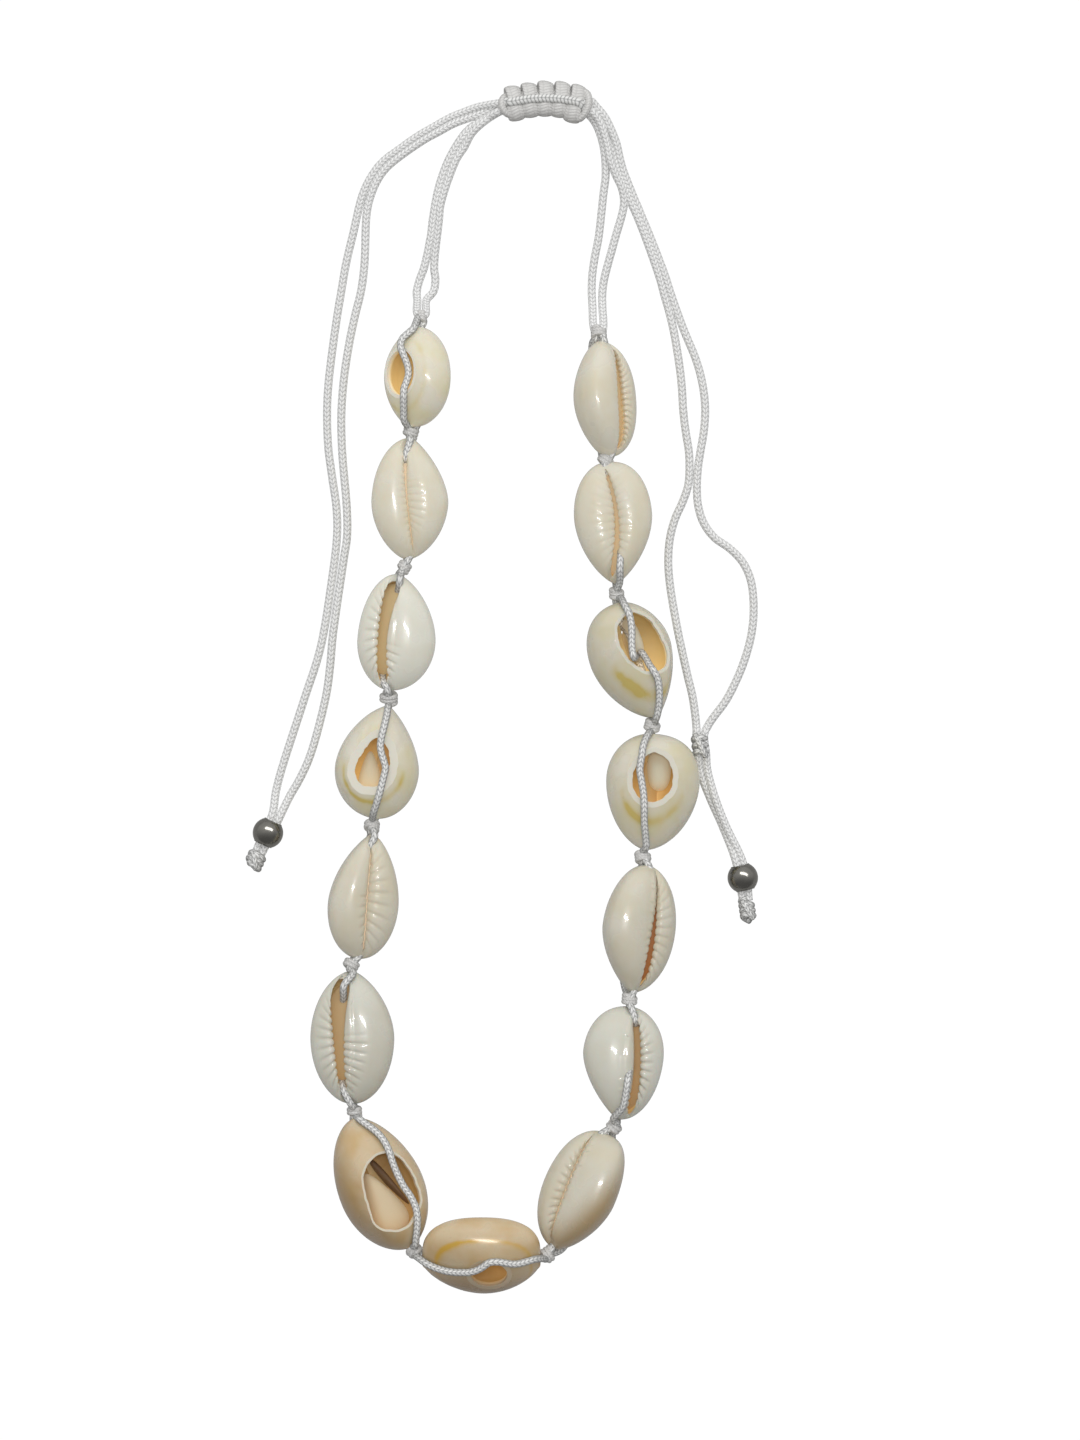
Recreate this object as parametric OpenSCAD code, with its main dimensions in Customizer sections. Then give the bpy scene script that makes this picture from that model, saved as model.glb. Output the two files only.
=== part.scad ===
// Shell necklace: fifteen cut cowrie shells on a doubled cord with a sliding knot,
// lying flat on the floor. Millimetres; +Y points to the sliding knot, +Z up.
// Every shell is a hollow body with a toothed slit in its base and a ground hole in
// its back. Two strands cross inside each shell and a small knot parts the shells.

/* [Piece] */
// piece to show

/* [Cord] */
// thickness of one strand
cord_d = 1.1; // [0.8:0.05:1.6]
// clear air kept between a strand and a shell
cord_gap = 0.2; // [0.1:0.01:0.3]

/* [Shell] */
// how much of a shell's height lies under its widest line
margin_part = 0.40; // [0.3:0.01:0.5]
// the same at the two tips
tip_part = 0.51; // [0.45:0.01:0.6]
// thickness of the base at the slit
lip_t = 1.1; // [0.8:0.1:1.6]
// half width of the slit where a strand passes it
slit_end = 0.8; // [0.7:0.05:1.2]
// depth of the teeth on the slit
tooth = 0.12; // [0:0.02:0.3]

/* [Knots] */
// widest radius of the small knots
knot_r = 1.2; // [1:0.05:2]
// length of the small knots
knot_l = 0.8; // [0.6:0.1:2]

/* [Sliding knot] */
// width across
slide_w = 5.6; // [4:0.1:8]
// height
slide_h = 3.2; // [2:0.1:5]
// distance from one wrap to the next
slide_step = 2.1; // [1.5:0.1:3]

/* [Tails] */
// diameter of the steel beads
bead_d = 4.9; // [4:0.1:6]
// hole through the beads
bead_bore = 2.6; // [2.4:0.1:3]

/* [Hidden] */
r = cord_d / 2;
off = r + cord_gap;
around = 28;
sides = 6;
left_names = ["left_1", "left_2", "left_3", "left_4", "left_5", "left_6", "left_7"];
right_names = ["right_7", "right_6", "right_5", "right_4", "right_3", "right_2", "right_1"];
shell_names = concat(left_names, ["bottom"], right_names);

// columns of the shell table
HEAD = 0;
TAIL = 1;
ROLL = 2;
WIDE = 3;
HIGH = 4;
WIDEST = 5;
TAPER_R = 6;
TAPER_L = 7;
HOLE = 8;
HOLE_SIZE = 9;
SLIT = 10;
SLIT_MID = 11;
LAY = 12;
// tips at the head and tail end; roll about the long axis (0 back up, 180 slit up);
// half width to the right and left of the heading as seen from above; height; where
// along the length it is widest (-1 tail, 1 head); taper of the right side at head and
// tail (0 round, 1 pointed); the same on the left; centre of the hole (to the right,
// along); half size of the hole's inner edge; the slit's offset at the head, middle and
// tail; half width of the slit's middle; where strands a and b cross the hole's rim
shells = [
 [[-13.6, 57.7], [-14.4, 41.6], -45, [6.0, 6.1], 7.0, -0.05, [0.1, 0.1], [0.1, 0.1],
  [0.0, 0.5], [2.5, 3.4], [-0.3, 0.4, 0.2], 0.4, [-0.5, -0.2]],
 [[-14.9, 39.4], [-15.7, 20.5], 180, [6.3, 6.0], 8.0, -0.05, [0.7, 0.2], [0.0, 0.3],
  [0.0, 0.5], [2.8, 4.0], [-0.9, -0.4, 0.7], 0.25, [0.3, -0.3]],
 [[-17.1, 18.2], [-18.6, -0.4], 180, [6.9, 5.6], 8.0, -0.15, [0.4, 0.0], [0.0, 0.1],
  [0.0, 0.0], [2.8, 4.0], [0.0, -0.6, -0.8], 0.7, [0.3, -0.3]],
 [[-18.6, -2.8], [-20.8, -20.9], 0, [6.1, 7.4], 8.2, -0.15, [0.7, 0.0], [0.4, 0.0],
  [-1.2, -0.2], [2.8, 4.1], [0.0, 0.3, 0.2], 0.5, [-0.2, 0.6]],
 [[-21.0, -23.3], [-23.4, -43.3], 195, [5.2, 6.1], 8.2, -0.15, [0.5, 0.0], [0.5, 0.0],
  [0.0, 0.5], [2.8, 4.0], [0.2, 0.0, 0.3], 0.25, [0.3, -0.4]],
 [[-24.9, -45.2], [-24.5, -66.5], 180, [6.9, 6.5], 8.2, 0.0, [0.55, 0.0], [0.0, 0.1],
  [0.0, 0.5], [2.8, 4.2], [-0.5, -1.2, -0.6], 0.7, [0.3, -0.3]],
 [[-24.4, -68.8], [-15.3, -89.5], 20, [6.8, 7.0], 8.4, -0.1, [0.25, 0.15], [0.15, 0.1],
  [0.3, -0.9], [3.1, 5.6], [0.0, 0.3, 0.0], 0.5, [-0.2, 1.6]],
 [[-12.9, -91.3], [5.4, -91.3], -40, [6.4, 6.6], 8.0, 0.0, [0.0, 0.0], [0.2, 0.2],
  [0.0, -0.6], [2.8, 3.4], [0.0, 0.3, 0.0], 0.4, [-0.4, -0.1]],
 [[16.1, -71.1], [8.0, -89.7], 150, [6.2, 6.0], 8.2, 0.0, [0.1, 0.3], [0.4, 0.3],
  [0.0, 0.0], [2.8, 4.2], [0.0, 0.2, 0.0], 0.25, [0.3, -0.3]],
 [[20.0, -50.9], [18.0, -69.0], 180, [6.2, 6.7], 8.2, 0.15, [0.0, 0.0], [-0.1, 0.75],
  [0.0, 0.0], [2.8, 4.0], [0.5, 1.6, 0.6], 0.55, [0.3, -0.3]],
 [[22.8, -28.3], [20.2, -48.7], 205, [5.6, 6.3], 8.4, 0.0, [0.1, 0.1], [0.4, 0.6],
  [0.0, 0.0], [2.8, 4.2], [0.5, 0.4, 0.2], 0.25, [0.3, -0.3]],
 [[23.5, -7.3], [22.5, -25.9], 0, [8.1, 6.9], 8.2, 0.2, [-0.2, 0.15], [0.0, 0.2],
  [0.3, 2.5], [3.4, 4.1], [0.0, 0.3, 0.0], 0.5, [-1.4, -0.6]],
 [[17.9, 13.6], [24.2, -4.8], 15, [6.3, 7.2], 8.2, 0.15, [0.2, 0.6], [-0.2, 0.4],
  [0.6, 2.3], [3.2, 4.4], [0.0, 0.3, 0.0], 0.5, [-1.4, 0.6]],
 [[16.3, 35.2], [17.8, 16.6], 180, [6.6, 5.9], 8.0, 0.1, [-0.2, 0.55], [0.0, 0.4],
  [0.0, 0.0], [2.8, 4.0], [-0.6, 0.4, -0.3], 0.35, [0.3, -0.3]],
 [[15.4, 55.1], [16.7, 37.4], 230, [5.4, 5.4], 7.6, 0.0, [0.1, 0.1], [0.2, 0.2],
  [0.0, 0.0], [2.6, 3.8], [0.0, 0.0, 0.0], 0.5, [0.3, -0.3]]
];

// centres of the first and last small knot
knot_first = [-13.4, 59.3];
knot_last = [15.4, 56.7];

// plain vector helpers
function unit(v) = v / norm(v);
function mix(a, b, f) = a + (b - a) * f;
function turn_z(p, a) = [p[0] * cos(a) - p[1] * sin(a), p[0] * sin(a) + p[1] * cos(a), p[2]];
function turn_y(p, a) = [p[0] * cos(a) + p[2] * sin(a), p[1], p[2] * cos(a) - p[0] * sin(a)];

// outline of one side: half width at v, from -1 at the tail to 1 at the head
function taper(u, t) = pow(max(0, 1 - pow(abs(u), 2 - 0.5 * t)), 0.5 + 0.5 * t);
function side_w(v, wide, v0, t) = wide
    * (v >= v0 ? taper((v - v0) / (1 - v0), t[0]) : taper((v0 - v) / (1 + v0), t[1]));

// a shell rolled past its side shows its right on the left
function flip(s) = cos(s[ROLL]) < 0 ? -1 : 1;
function half_len(s) = norm(s[HEAD] - s[TAIL]) / 2;
function width_at(s, v, right) = right == (flip(s) > 0)
    ? side_w(v, s[WIDE][0], s[WIDEST], s[TAPER_R]) : side_w(v, s[WIDE][1], s[WIDEST], s[TAPER_L]);
function edge(s, t) = let (v = sin(t))
    [(cos(t) < 0 ? -1 : 1) * width_at(s, v, cos(t) >= 0), v * half_len(s)];
function margin_z(s, v) = s[HIGH] * mix(margin_part, tip_part, pow(abs(v), 4));

// the back, from the ground rim (f = 0) out to the widest line (f = 1)
rim = 0.6;
function dome(q) = pow(max(0, 1 - pow(q, 2.2)), 1 / 2.2);
function rim_edge(s, t, grow) = [flip(s) * s[HOLE][0] + (s[HOLE_SIZE][0] + grow) * cos(t),
    s[HOLE][1] + (s[HOLE_SIZE][1] + grow) * sin(t)];
function back(s, t, f) = let (p = mix(rim_edge(s, t, 1.15), edge(s, t), f),
    m = margin_z(s, p[1] / half_len(s)))
    [p[0], p[1], m + (s[HIGH] - m) * dome(rim + (1 - rim) * f) / dome(rim)];

// the base and its slit
function base_z(s, x, y) = let (v = max(-1, min(1, y / half_len(s))),
    w = width_at(s, v, x >= 0), q = w < 0.02 ? 1 : min(1, abs(x) / w))
    margin_z(s, v) - s[HIGH] * margin_part * sqrt(1 - pow(v, 4)) * pow(1 - pow(q, 2.6), 1 / 2.6);
function slit_x(s, v) = flip(s) * (s[SLIT][1] + (s[SLIT][0] - s[SLIT][2]) * v / 2
    + ((s[SLIT][0] + s[SLIT][2]) / 2 - s[SLIT][1]) * v * v);
slit_v = 0.87;
function slit_half(s, v) = mix(s[SLIT_MID], slit_end, min(1, pow(abs(v) / 0.45, 3)));
function slit(s, j, in) = let (q = 4 * j / around, u = q <= 1 ? q : q <= 3 ? 2 - q : q - 4,
    sign = q <= 1 || q >= 3 ? 1 : -1, v = u * slit_v,
    cut = abs(v) < 0.45 ? (j % 2 == 0 ? tooth : -tooth) : 0,
    x = slit_x(s, v) + sign * (slit_half(s, v) - cut) * sqrt(max(0, 1 - pow(abs(u), 12))),
    y = v * half_len(s))
    [x, y, base_z(s, x, y) + (in ? lip_t : 0.1)];
function base(s, j, f) = let (p = mix(edge(s, 360 * j / around), slit(s, j, false), f))
    [p[0], p[1], base_z(s, p[0], p[1])];
function inner(s, j) = let (p = edge(s, 360 * j / around))
    [p[0] * 0.8, p[1] * 0.85, margin_z(s, 0.85 * p[1] / half_len(s)) + 0.4];
function rim_in(s, j) = let (p = rim_edge(s, 360 * j / around, 0)) [p[0], p[1], s[HIGH]];

// rings of a shell from the rim over the back, the base and the slit to the inside
back_steps = [0, 0.3, 0.6, 0.86, 1];
base_steps = [0.14, 0.5];
function shell_rings(s) = concat(
    [for (f = back_steps) [for (j = [0:around - 1]) back(s, 360 * j / around, f)]],
    [for (f = base_steps) [for (j = [0:around - 1]) base(s, j, f)]],
    [[for (j = [0:around - 1]) slit(s, j, false)], [for (j = [0:around - 1]) slit(s, j, true)]],
    [[for (j = [0:around - 1]) inner(s, j)], [for (j = [0:around - 1]) rim_in(s, j)]]);

// a point over the back or under the base, moved out along the surface's normal
function over(s, t, f) = let (p = back(s, t, f), a = back(s, t + 0.5, f) - back(s, t - 0.5, f),
    b = back(s, t, min(1, f + 0.01)) - back(s, t, f - 0.01)) p + off * unit(cross(b, a));
function under(s, x, v) = let (y = v * half_len(s), z = base_z(s, x, y), e = 0.05,
    dx = (base_z(s, x + e, y) - base_z(s, x - e, y)) / 2 / e,
    dy = (base_z(s, x, y + e) - base_z(s, x, y - e)) / 2 / e)
    [x, y, z] + off * unit([dx, dy, -1]);

// a strand inside its shell: in over the back at end d (1 head, -1 tail), out by the slit
function strand(s, d, x) = let (h = flip(s) * x, hx = flip(s) * s[HOLE][0], hy = s[HOLE][1],
    q = max(-0.85, min(0.85, (h - hx) / s[HOLE_SIZE][0])), w = q * s[HOLE_SIZE][0] / (s[HOLE_SIZE][0] + 1.15),
    y_in = s[HOLE_SIZE][1] * sqrt(1 - q * q), y_out = (s[HOLE_SIZE][1] + 1.15) * sqrt(1 - w * w),
    lean = asin(w), L = half_len(s), z = s[HIGH], xo = hx + q * s[HOLE_SIZE][0],
    c = flip(s) * (s[LAY][0] + s[LAY][1]) / 2 + 0.68 * d, e = slit_x(s, -0.62 * d))
    [over(s, d * (90 - lean * 0.1), 0.87), over(s, d * (90 - lean * 0.45), 0.6),
     over(s, d * (90 - lean * 0.75), 0.3), [xo, hy + d * (y_out + 0.1), z + off],
     [xo, hy + d * (y_in - 0.45), z + off], [mix(xo, c, 0.5), hy + d * (y_in - 1.9), z - 0.5],
     [c, 0, z * 0.55], [slit_x(s, -0.42 * d), -0.42 * d * L, 2.4],
     [e, -0.62 * d * L, base_z(s, e, -0.62 * d * L) + 0.4],
     under(s, slit_x(s, -0.8 * d), -0.8 * d), under(s, slit_x(s, -0.93 * d) * 0.6, -0.93 * d)];

// a point of a shell brought to its place, resting on the floor
function rolled(s, p) = turn_y(p - [0, 0, s[HIGH] * tip_part], s[ROLL]);
function lowest(list) = min([for (p = list) p[2]]);
function rest_z(s) = 0.02 - min(
    min([for (g = shell_rings(s)) lowest([for (p = g) rolled(s, p)])]),
    lowest([for (p = strand(s, 1, s[LAY][0])) rolled(s, p)]) - r,
    lowest([for (p = strand(s, -1, s[LAY][1])) rolled(s, p)]) - r);
function heading(s) = atan2(s[HEAD][1] - s[TAIL][1], s[HEAD][0] - s[TAIL][0]);
function place(s, z, p) = turn_z(rolled(s, p), heading(s) - 90)
    + [(s[HEAD][0] + s[TAIL][0]) / 2, (s[HEAD][1] + s[TAIL][1]) / 2, z];
shell_z = [for (s = shells) rest_z(s)];

// the small knots lie between the tips of their neighbours
function head_tip(k) = [shells[k][HEAD][0], shells[k][HEAD][1], shell_z[k]];
function tail_tip(k) = [shells[k][TAIL][0], shells[k][TAIL][1], shell_z[k]];
function first_tip(k) = k <= 7 ? head_tip(k) : tail_tip(k);
function last_tip(k) = k <= 7 ? tail_tip(k) : head_tip(k);
function knot_at(k) = k == 0 ? [knot_first[0], knot_first[1], shell_z[0] - 0.6]
    : k == 15 ? [knot_last[0], knot_last[1], shell_z[14] - 0.6]
    : (last_tip(k - 1) + first_tip(k)) / 2;
function knot_dir(k) = k == 0 ? unit(first_tip(0) - [-13.3, 61.5, 2.5])
    : k == 15 ? unit([15.2, 59.0, 2.5] - last_tip(14)) : unit(first_tip(k) - last_tip(k - 1));

// closed tube through the points of a path, its rings squared to ref; the end rings
// stand square to the directions first and last
function ring_dir(path, i, first, last) = i == 0 ? first : i == len(path) - 1 ? last
    : unit(unit(path[i + 1] - path[i]) + unit(path[i] - path[i - 1]));
module tube(path, n, ref, first, last) {
    pts = [for (i = [0:len(path) - 1]) let (d = ring_dir(path, i, first, last),
        u = unit(ref - (ref * d) * d), w = cross(d, u)) for (k = [0:n - 1])
        path[i] + r * (cos(360 * (k + 0.5) / n) * u + sin(360 * (k + 0.5) / n) * w)];
    end = (len(path) - 1) * n;
    walls = [for (i = [0:len(path) - 2]) for (k = [0:n - 1]) let (a = i * n + k,
        b = i * n + (k + 1) % n) each [[a, a + n, b + n], [a, b + n, b]]];
    polyhedron(pts, concat(walls, [[for (k = [0:n - 1]) k]],
        [[for (k = [n - 1:-1:0]) end + k]]));
}

// closed body from rings that meet end to end
module ring_body(rings) {
    n = len(rings[0]);
    m = len(rings);
    faces = [for (i = [0:m - 1]) for (j = [0:n - 1]) let (a = i * n + j, b = i * n + (j + 1) % n,
        c = ((i + 1) % m) * n + j, d = ((i + 1) % m) * n + (j + 1) % n)
        each [[a, b, d], [a, d, c]]];
    polyhedron([for (g = rings) each g], faces);
}

module shell(k) {
    s = shells[k];
    color("#e3dac3") ring_body([for (g = shell_rings(s)) [for (p = g) place(s, shell_z[k], p)]]);
}

// a lump of tied cord: a barrel with flat ends, along dir
module barrel(at, dir, rad, len) {
    translate(at)
        rotate([0, acos(dir[2]), atan2(dir[1], dir[0])])
            rotate_extrude($fn = 48)
                polygon([[0, -len / 2], [rad * 0.66, -len / 2], [rad, -len / 5], [rad, len / 5],
                    [rad * 0.66, len / 2], [0, len / 2]]);
}
module knot(k) {
    color("#e6e6e6") barrel(knot_at(k), knot_dir(k), knot_r, knot_l);
}

// where strand d of shell k leaves the knot before it (end 0) or after it (end 1)
function back_dir(k) = turn_z(turn_y([0, 0, 1], shells[k][ROLL]), heading(shells[k]) - 90);
function knot_face(k, end, up) = let (q = k + end, c = knot_dir(q), b = back_dir(k),
    side = unit(b - (b * c) * c))
    knot_at(q) + (end == 0 ? 1 : -1) * (knot_l / 2 + 0.2) * c + up * 0.66 * side;

// strand a goes in over the back at the shell's head, strand b at its tail
module strands(d) {
    color("#f2f2f2") for (k = [0:14]) {
        s = shells[k];
        on = (k <= 7 ? 1 : -1) * d;
        near = on > 0 ? 0 : 1;
        path = concat([knot_face(k, near, 1)],
            [for (p = strand(s, d, s[LAY][near == 0 ? 0 : 1])) place(s, shell_z[k], p)],
            [knot_face(k, 1 - near, -1)]);
        tube(path, sides, turn_z(turn_y([1, 0, 0], s[ROLL]), heading(s) - 90),
            on * knot_dir(k + near), on * knot_dir(k + 1 - near));
    }
}

// a point on the end face of the sliding knot: e -1 left, 1 right; u across, z up
slide_mid = 6.4;
slide_top = 94.37;
slide_bow = 0.022;
wraps = 7;
function slide_y(x) = slide_top - slide_bow * pow(x - slide_mid, 2);
function slide_turn(x) = atan(-2 * slide_bow * (x - slide_mid));
function slide_out(e) = turn_z([e, 0, 0], slide_turn(slide_mid + e * 3 * slide_step));
function slide_face(e, u, z) = let (x = slide_mid + e * 3 * slide_step, o = slide_out(e))
    [x, slide_y(x), z] + (slide_step * 0.41 + 0.1) * o + u * [-e * o[1], e * o[0], 0];

// how far from the knot's middle its inner and outer cords leave each end
across_in = 0.62;
across_out = 1.86;

// cords from the sliding knot to the first and last small knots
side_paths = [
 [[-4.3, 90.7, 0.7], [-6.0, 89.6, 0.6], [-8.9, 85.4, 0.6], [-10.8, 80.5, 0.6],
  [-11.8, 75.3, 0.6], [-12.1, 72.7, 0.6], [-13.0, 67.6, 0.6], [-13.8, 65.4, 0.6],
  [-14.2, 63.6, 0.9], [-14.1, 62.3, 1.5]],
 [[-3.4, 89.6, 0.7], [-5.1, 88.6, 0.6], [-6.3, 86.9, 0.6], [-7.7, 84.8, 0.6],
  [-10.1, 77.7, 0.6], [-10.4, 75.1, 0.6], [-11.4, 67.6, 0.6], [-11.2, 65.6, 0.6],
  [-11.5, 63.7, 0.9], [-12.6, 62.3, 1.5]],
 [[14.0, 90.3, 0.8], [15.1, 87.0, 0.6], [15.8, 82.4, 0.6], [15.7, 79.4, 0.6],
  [15.0, 72.3, 0.6], [14.4, 69.2, 0.6], [14.0, 66.4, 0.6], [13.9, 63.8, 0.8],
  [14.0, 61.6, 1.3]],
 [[15.2, 91.0, 0.8], [16.4, 87.2, 0.6], [16.8, 85.0, 0.6], [17.4, 82.5, 0.6],
  [18.2, 80.2, 0.6], [18.4, 77.8, 0.6], [17.3, 71.8, 0.6], [15.9, 65.6, 0.6],
  [15.6, 63.2, 0.8], [15.6, 61.5, 1.3]]
];
side_across = [-across_in, -across_out, -across_out, -across_in];
function side_stop(i) = let (k = i < 2 ? 0 : 15, c = knot_dir(k), n = unit([-c[1], c[0], 0]),
    w = (i == 0 || i == 3 ? -1 : 1) * 0.62)
    knot_at(k) + (k == 0 ? -1 : 1) * (knot_l / 2 + 0.1) * c + w * n;
module side_cord(i) {
    e = i < 2 ? -1 : 1;
    color("#f2f2f2") tube(concat([slide_face(e, side_across[i], 1.6)], side_paths[i],
        [side_stop(i)]), sides, [0, 0, 1], slide_out(e), i < 2 ? knot_dir(0) : -knot_dir(15));
}

// the sliding knot: wraps side by side on a bowed core
module stadium(w, h) {
    square([w - h, h], center = true);
    for (e = [-1, 1])
        translate([e * (w - h) / 2, 0])
            circle(d = h, $fn = 32);
}
module slice(x, len, w, h) {
    translate([x, slide_y(x), slide_h / 2 + 0.02])
        rotate([0, 0, slide_turn(x)])
            rotate([90, 0, 90])
                translate([0, 0, -len / 2])
                    linear_extrude(len)
                        stadium(w, h);
}
module slide_knot() {
    color("#e2e2e2") union() {
        for (k = [0:wraps - 1])
            slice(slide_mid + (k - 3) * slide_step, slide_step * 0.82, slide_w, slide_h);
        for (k = [0:wraps - 2])
            slice(slide_mid + (k - 2.5) * slide_step, slide_step * 0.6, slide_w - 0.7, slide_h - 0.5);
    }
}

// the two tails, strand by strand, from the sliding knot to the end knots
left_outer = [[-4.2, 93.6, 0.8], [-6.4, 92.8, 0.6], [-8.8, 91.8, 0.6], [-11.3, 90.5, 0.6], [-13.9, 89.1, 0.6],
 [-17.2, 86.8, 0.6], [-19.9, 84.7, 0.6], [-21.7, 82.2, 0.6], [-23.0, 79.2, 0.6],
 [-24.5, 72.6, 0.6], [-25.5, 68.4, 0.6], [-26.3, 63.8, 0.6], [-27.1, 58.9, 0.6],
 [-28.4, 48.6, 0.6], [-28.6, 43.6, 0.6], [-28.4, 38.6, 0.6], [-27.8, 34.0, 0.6],
 [-27.1, 29.0, 0.6], [-27.0, 24.6, 0.6], [-28.0, 16.2, 0.6], [-29.7, 6.3, 0.6],
 [-32.3, -1.9, 0.6], [-36.0, -13.4, 0.7], [-36.8, -16.6, 0.9]];
left_inner = [[-4.1, 92.2, 0.8], [-8.2, 90.6, 0.6], [-10.7, 89.2, 0.6], [-13.2, 87.8, 0.6], [-18.8, 83.6, 0.6],
 [-20.4, 81.5, 0.6], [-21.6, 78.8, 0.6], [-22.2, 76.2, 0.6], [-22.6, 68.0, 0.6],
 [-23.1, 64.0, 0.6], [-24.2, 59.4, 0.6], [-25.1, 55.0, 0.6], [-25.9, 49.6, 0.6],
 [-26.3, 44.0, 0.6], [-26.2, 38.4, 0.6], [-25.4, 28.4, 0.6], [-25.4, 24.2, 0.6],
 [-25.9, 20.8, 0.6], [-27.7, 8.2, 0.6], [-28.1, 3.6, 0.6], [-28.8, -1.4, 0.6],
 [-31.3, -10.8, 0.6], [-33.0, -14.6, 0.7], [-34.6, -17.4, 0.9]];
right_outer = [[15.9, 94.1, 0.8], [17.4, 92.2, 0.6], [18.4, 90.0, 0.6], [19.2, 87.5, 0.6], [19.6, 85.2, 0.6],
 [20.1, 83.0, 0.6], [24.2, 71.9, 0.6], [26.1, 66.2, 0.6], [26.9, 63.3, 0.6], [28.6, 57.9, 0.6],
 [30.7, 52.6, 0.6], [31.6, 49.3, 0.6], [32.1, 45.6, 0.6], [32.0, 42.0, 0.6], [31.0, 35.6, 0.6],
 [30.8, 32.4, 0.6], [31.0, 29.3, 0.6], [31.9, 26.5, 0.6], [33.6, 24.2, 0.6], [36.1, 22.4, 0.6],
 [38.1, 20.3, 0.6], [39.4, 17.5, 0.6], [39.9, 13.6, 0.6], [39.7, 9.6, 0.6], [38.8, 5.6, 0.6],
 [37.3, 1.6, 0.6], [35.4, -2.1, 0.6], [33.6, -4.5, 0.6], [32.6, -6.0, 0.7]];
right_inner = [[15.3, 92.9, 0.8], [16.5, 91.1, 0.6], [17.4, 89.0, 0.6], [17.9, 87.2, 0.6], [18.2, 85.0, 0.6],
 [18.8, 82.6, 0.6], [20.0, 79.5, 0.6], [21.8, 74.6, 0.6], [24.8, 65.9, 0.6], [25.6, 63.0, 0.6],
 [26.4, 60.2, 0.6], [27.1, 57.2, 0.6], [28.1, 51.0, 0.6], [28.4, 48.0, 0.6], [28.6, 44.6, 0.6],
 [29.0, 41.2, 0.6], [29.5, 38.0, 0.6], [29.6, 35.2, 0.6], [29.4, 32.6, 0.6], [28.5, 29.9, 0.6],
 [27.3, 27.2, 0.6], [26.5, 24.2, 0.6], [26.2, 20.6, 0.6], [26.4, 17.2, 0.6], [27.5, 10.4, 0.6],
 [29.2, 2.4, 0.6], [30.1, -1.4, 0.6], [30.7, -6.0, 0.7]];
left_bead = [-38.0, -23.2, bead_d / 2 + 0.05];
left_way = unit([-0.42, -0.9, 0]);
right_bead = [38.1, -30.4, bead_d / 2 + 0.05];
right_way = unit([0.22, -0.97, 0]);
tie_at = [31.5, -9.0, 1.4];
tie_way = unit([0.1, -1, 0]);
right_lower = [[32.8, -13.2, 0.6], [33.9, -17.6, 0.6], [35.5, -22.2, 0.8]];
end_out = 0.7;

// the point of strand i (1 or -1) at distance x along a bead's or knot's axis
function beside(at, way, i, x) = at + x * way + i * 0.63 * [-way[1], way[0], 0];
function bead_run(at, way, i) = [beside(at, way, i, -3), beside(at, way, i, bead_d / 2 + end_out - 0.1)];
module tail_left(path, u, i) {
    color("#f2f2f2") tube(concat([slide_face(-1, u, 1.6)], path, bead_run(left_bead, left_way, i)),
        sides, [0, 0, 1], slide_out(-1), left_way);
}
module tail_right(path, u, i) {
    color("#f2f2f2") {
        tube(concat([slide_face(1, u, 1.6)], path, [beside(tie_at, tie_way, i, -1.5)]),
            sides, [0, 0, 1], slide_out(1), tie_way);
        tube(concat([beside(tie_at, tie_way, i, 1.5)],
            [for (p = right_lower) beside(p, unit([0.33, -0.95, 0]), i, 0)],
            bead_run(right_bead, right_way, i)), sides, [0, 0, 1], tie_way, right_way);
    }
}
module tail_tie() {
    color("#e6e6e6") barrel(tie_at, tie_way, knot_r, 2.8);
}
module bead(at, way) {
    color("#b9bcc0") difference() {
        translate(at)
            sphere(d = bead_d, $fn = 48);
        translate(at)
            rotate([0, 90, atan2(way[1], way[0])])
                cylinder(d = bead_bore, h = bead_d + 2, center = true, $fn = 32);
    }
}
module end_knot(at, way, len, rad) {
    color("#e6e6e6") barrel(at + (bead_d / 2 + end_out + len / 2) * way, way, rad, len);
}

// one line per piece
for (k = [0:14])
    shell(k);
for (k = [0:15])
    knot(k);
strands(1);  // string_a
strands(-1);  // string_b
side_cord(0);  // side_left_a
side_cord(1);  // side_left_b
side_cord(2);  // side_right_a
side_cord(3);  // side_right_b
slide_knot();
tail_left(left_outer, across_out, -1);  // tail_left_outer
tail_left(left_inner, across_in, 1);  // tail_left_inner
tail_right(right_outer, across_out, 1);  // tail_right_outer
tail_right(right_inner, across_in, -1);  // tail_right_inner
tail_tie();
bead(left_bead, left_way);  // bead_left
bead(right_bead, right_way);  // bead_right
end_knot(left_bead, left_way, 3.4, 1.6);  // end_knot_left
end_knot(right_bead, right_way, 4.5, 1.4);  // end_knot_right
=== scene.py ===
# Shell necklace: fifteen cut cowrie shells on a doubled braided cord, with a sliding
# knot at the top and two tails that end in steel beads, lying flat on a pale table.
import math
import random
from types import SimpleNamespace

import bmesh
import bpy
import numpy as np
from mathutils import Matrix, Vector
from mathutils.bvhtree import BVHTree


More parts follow.
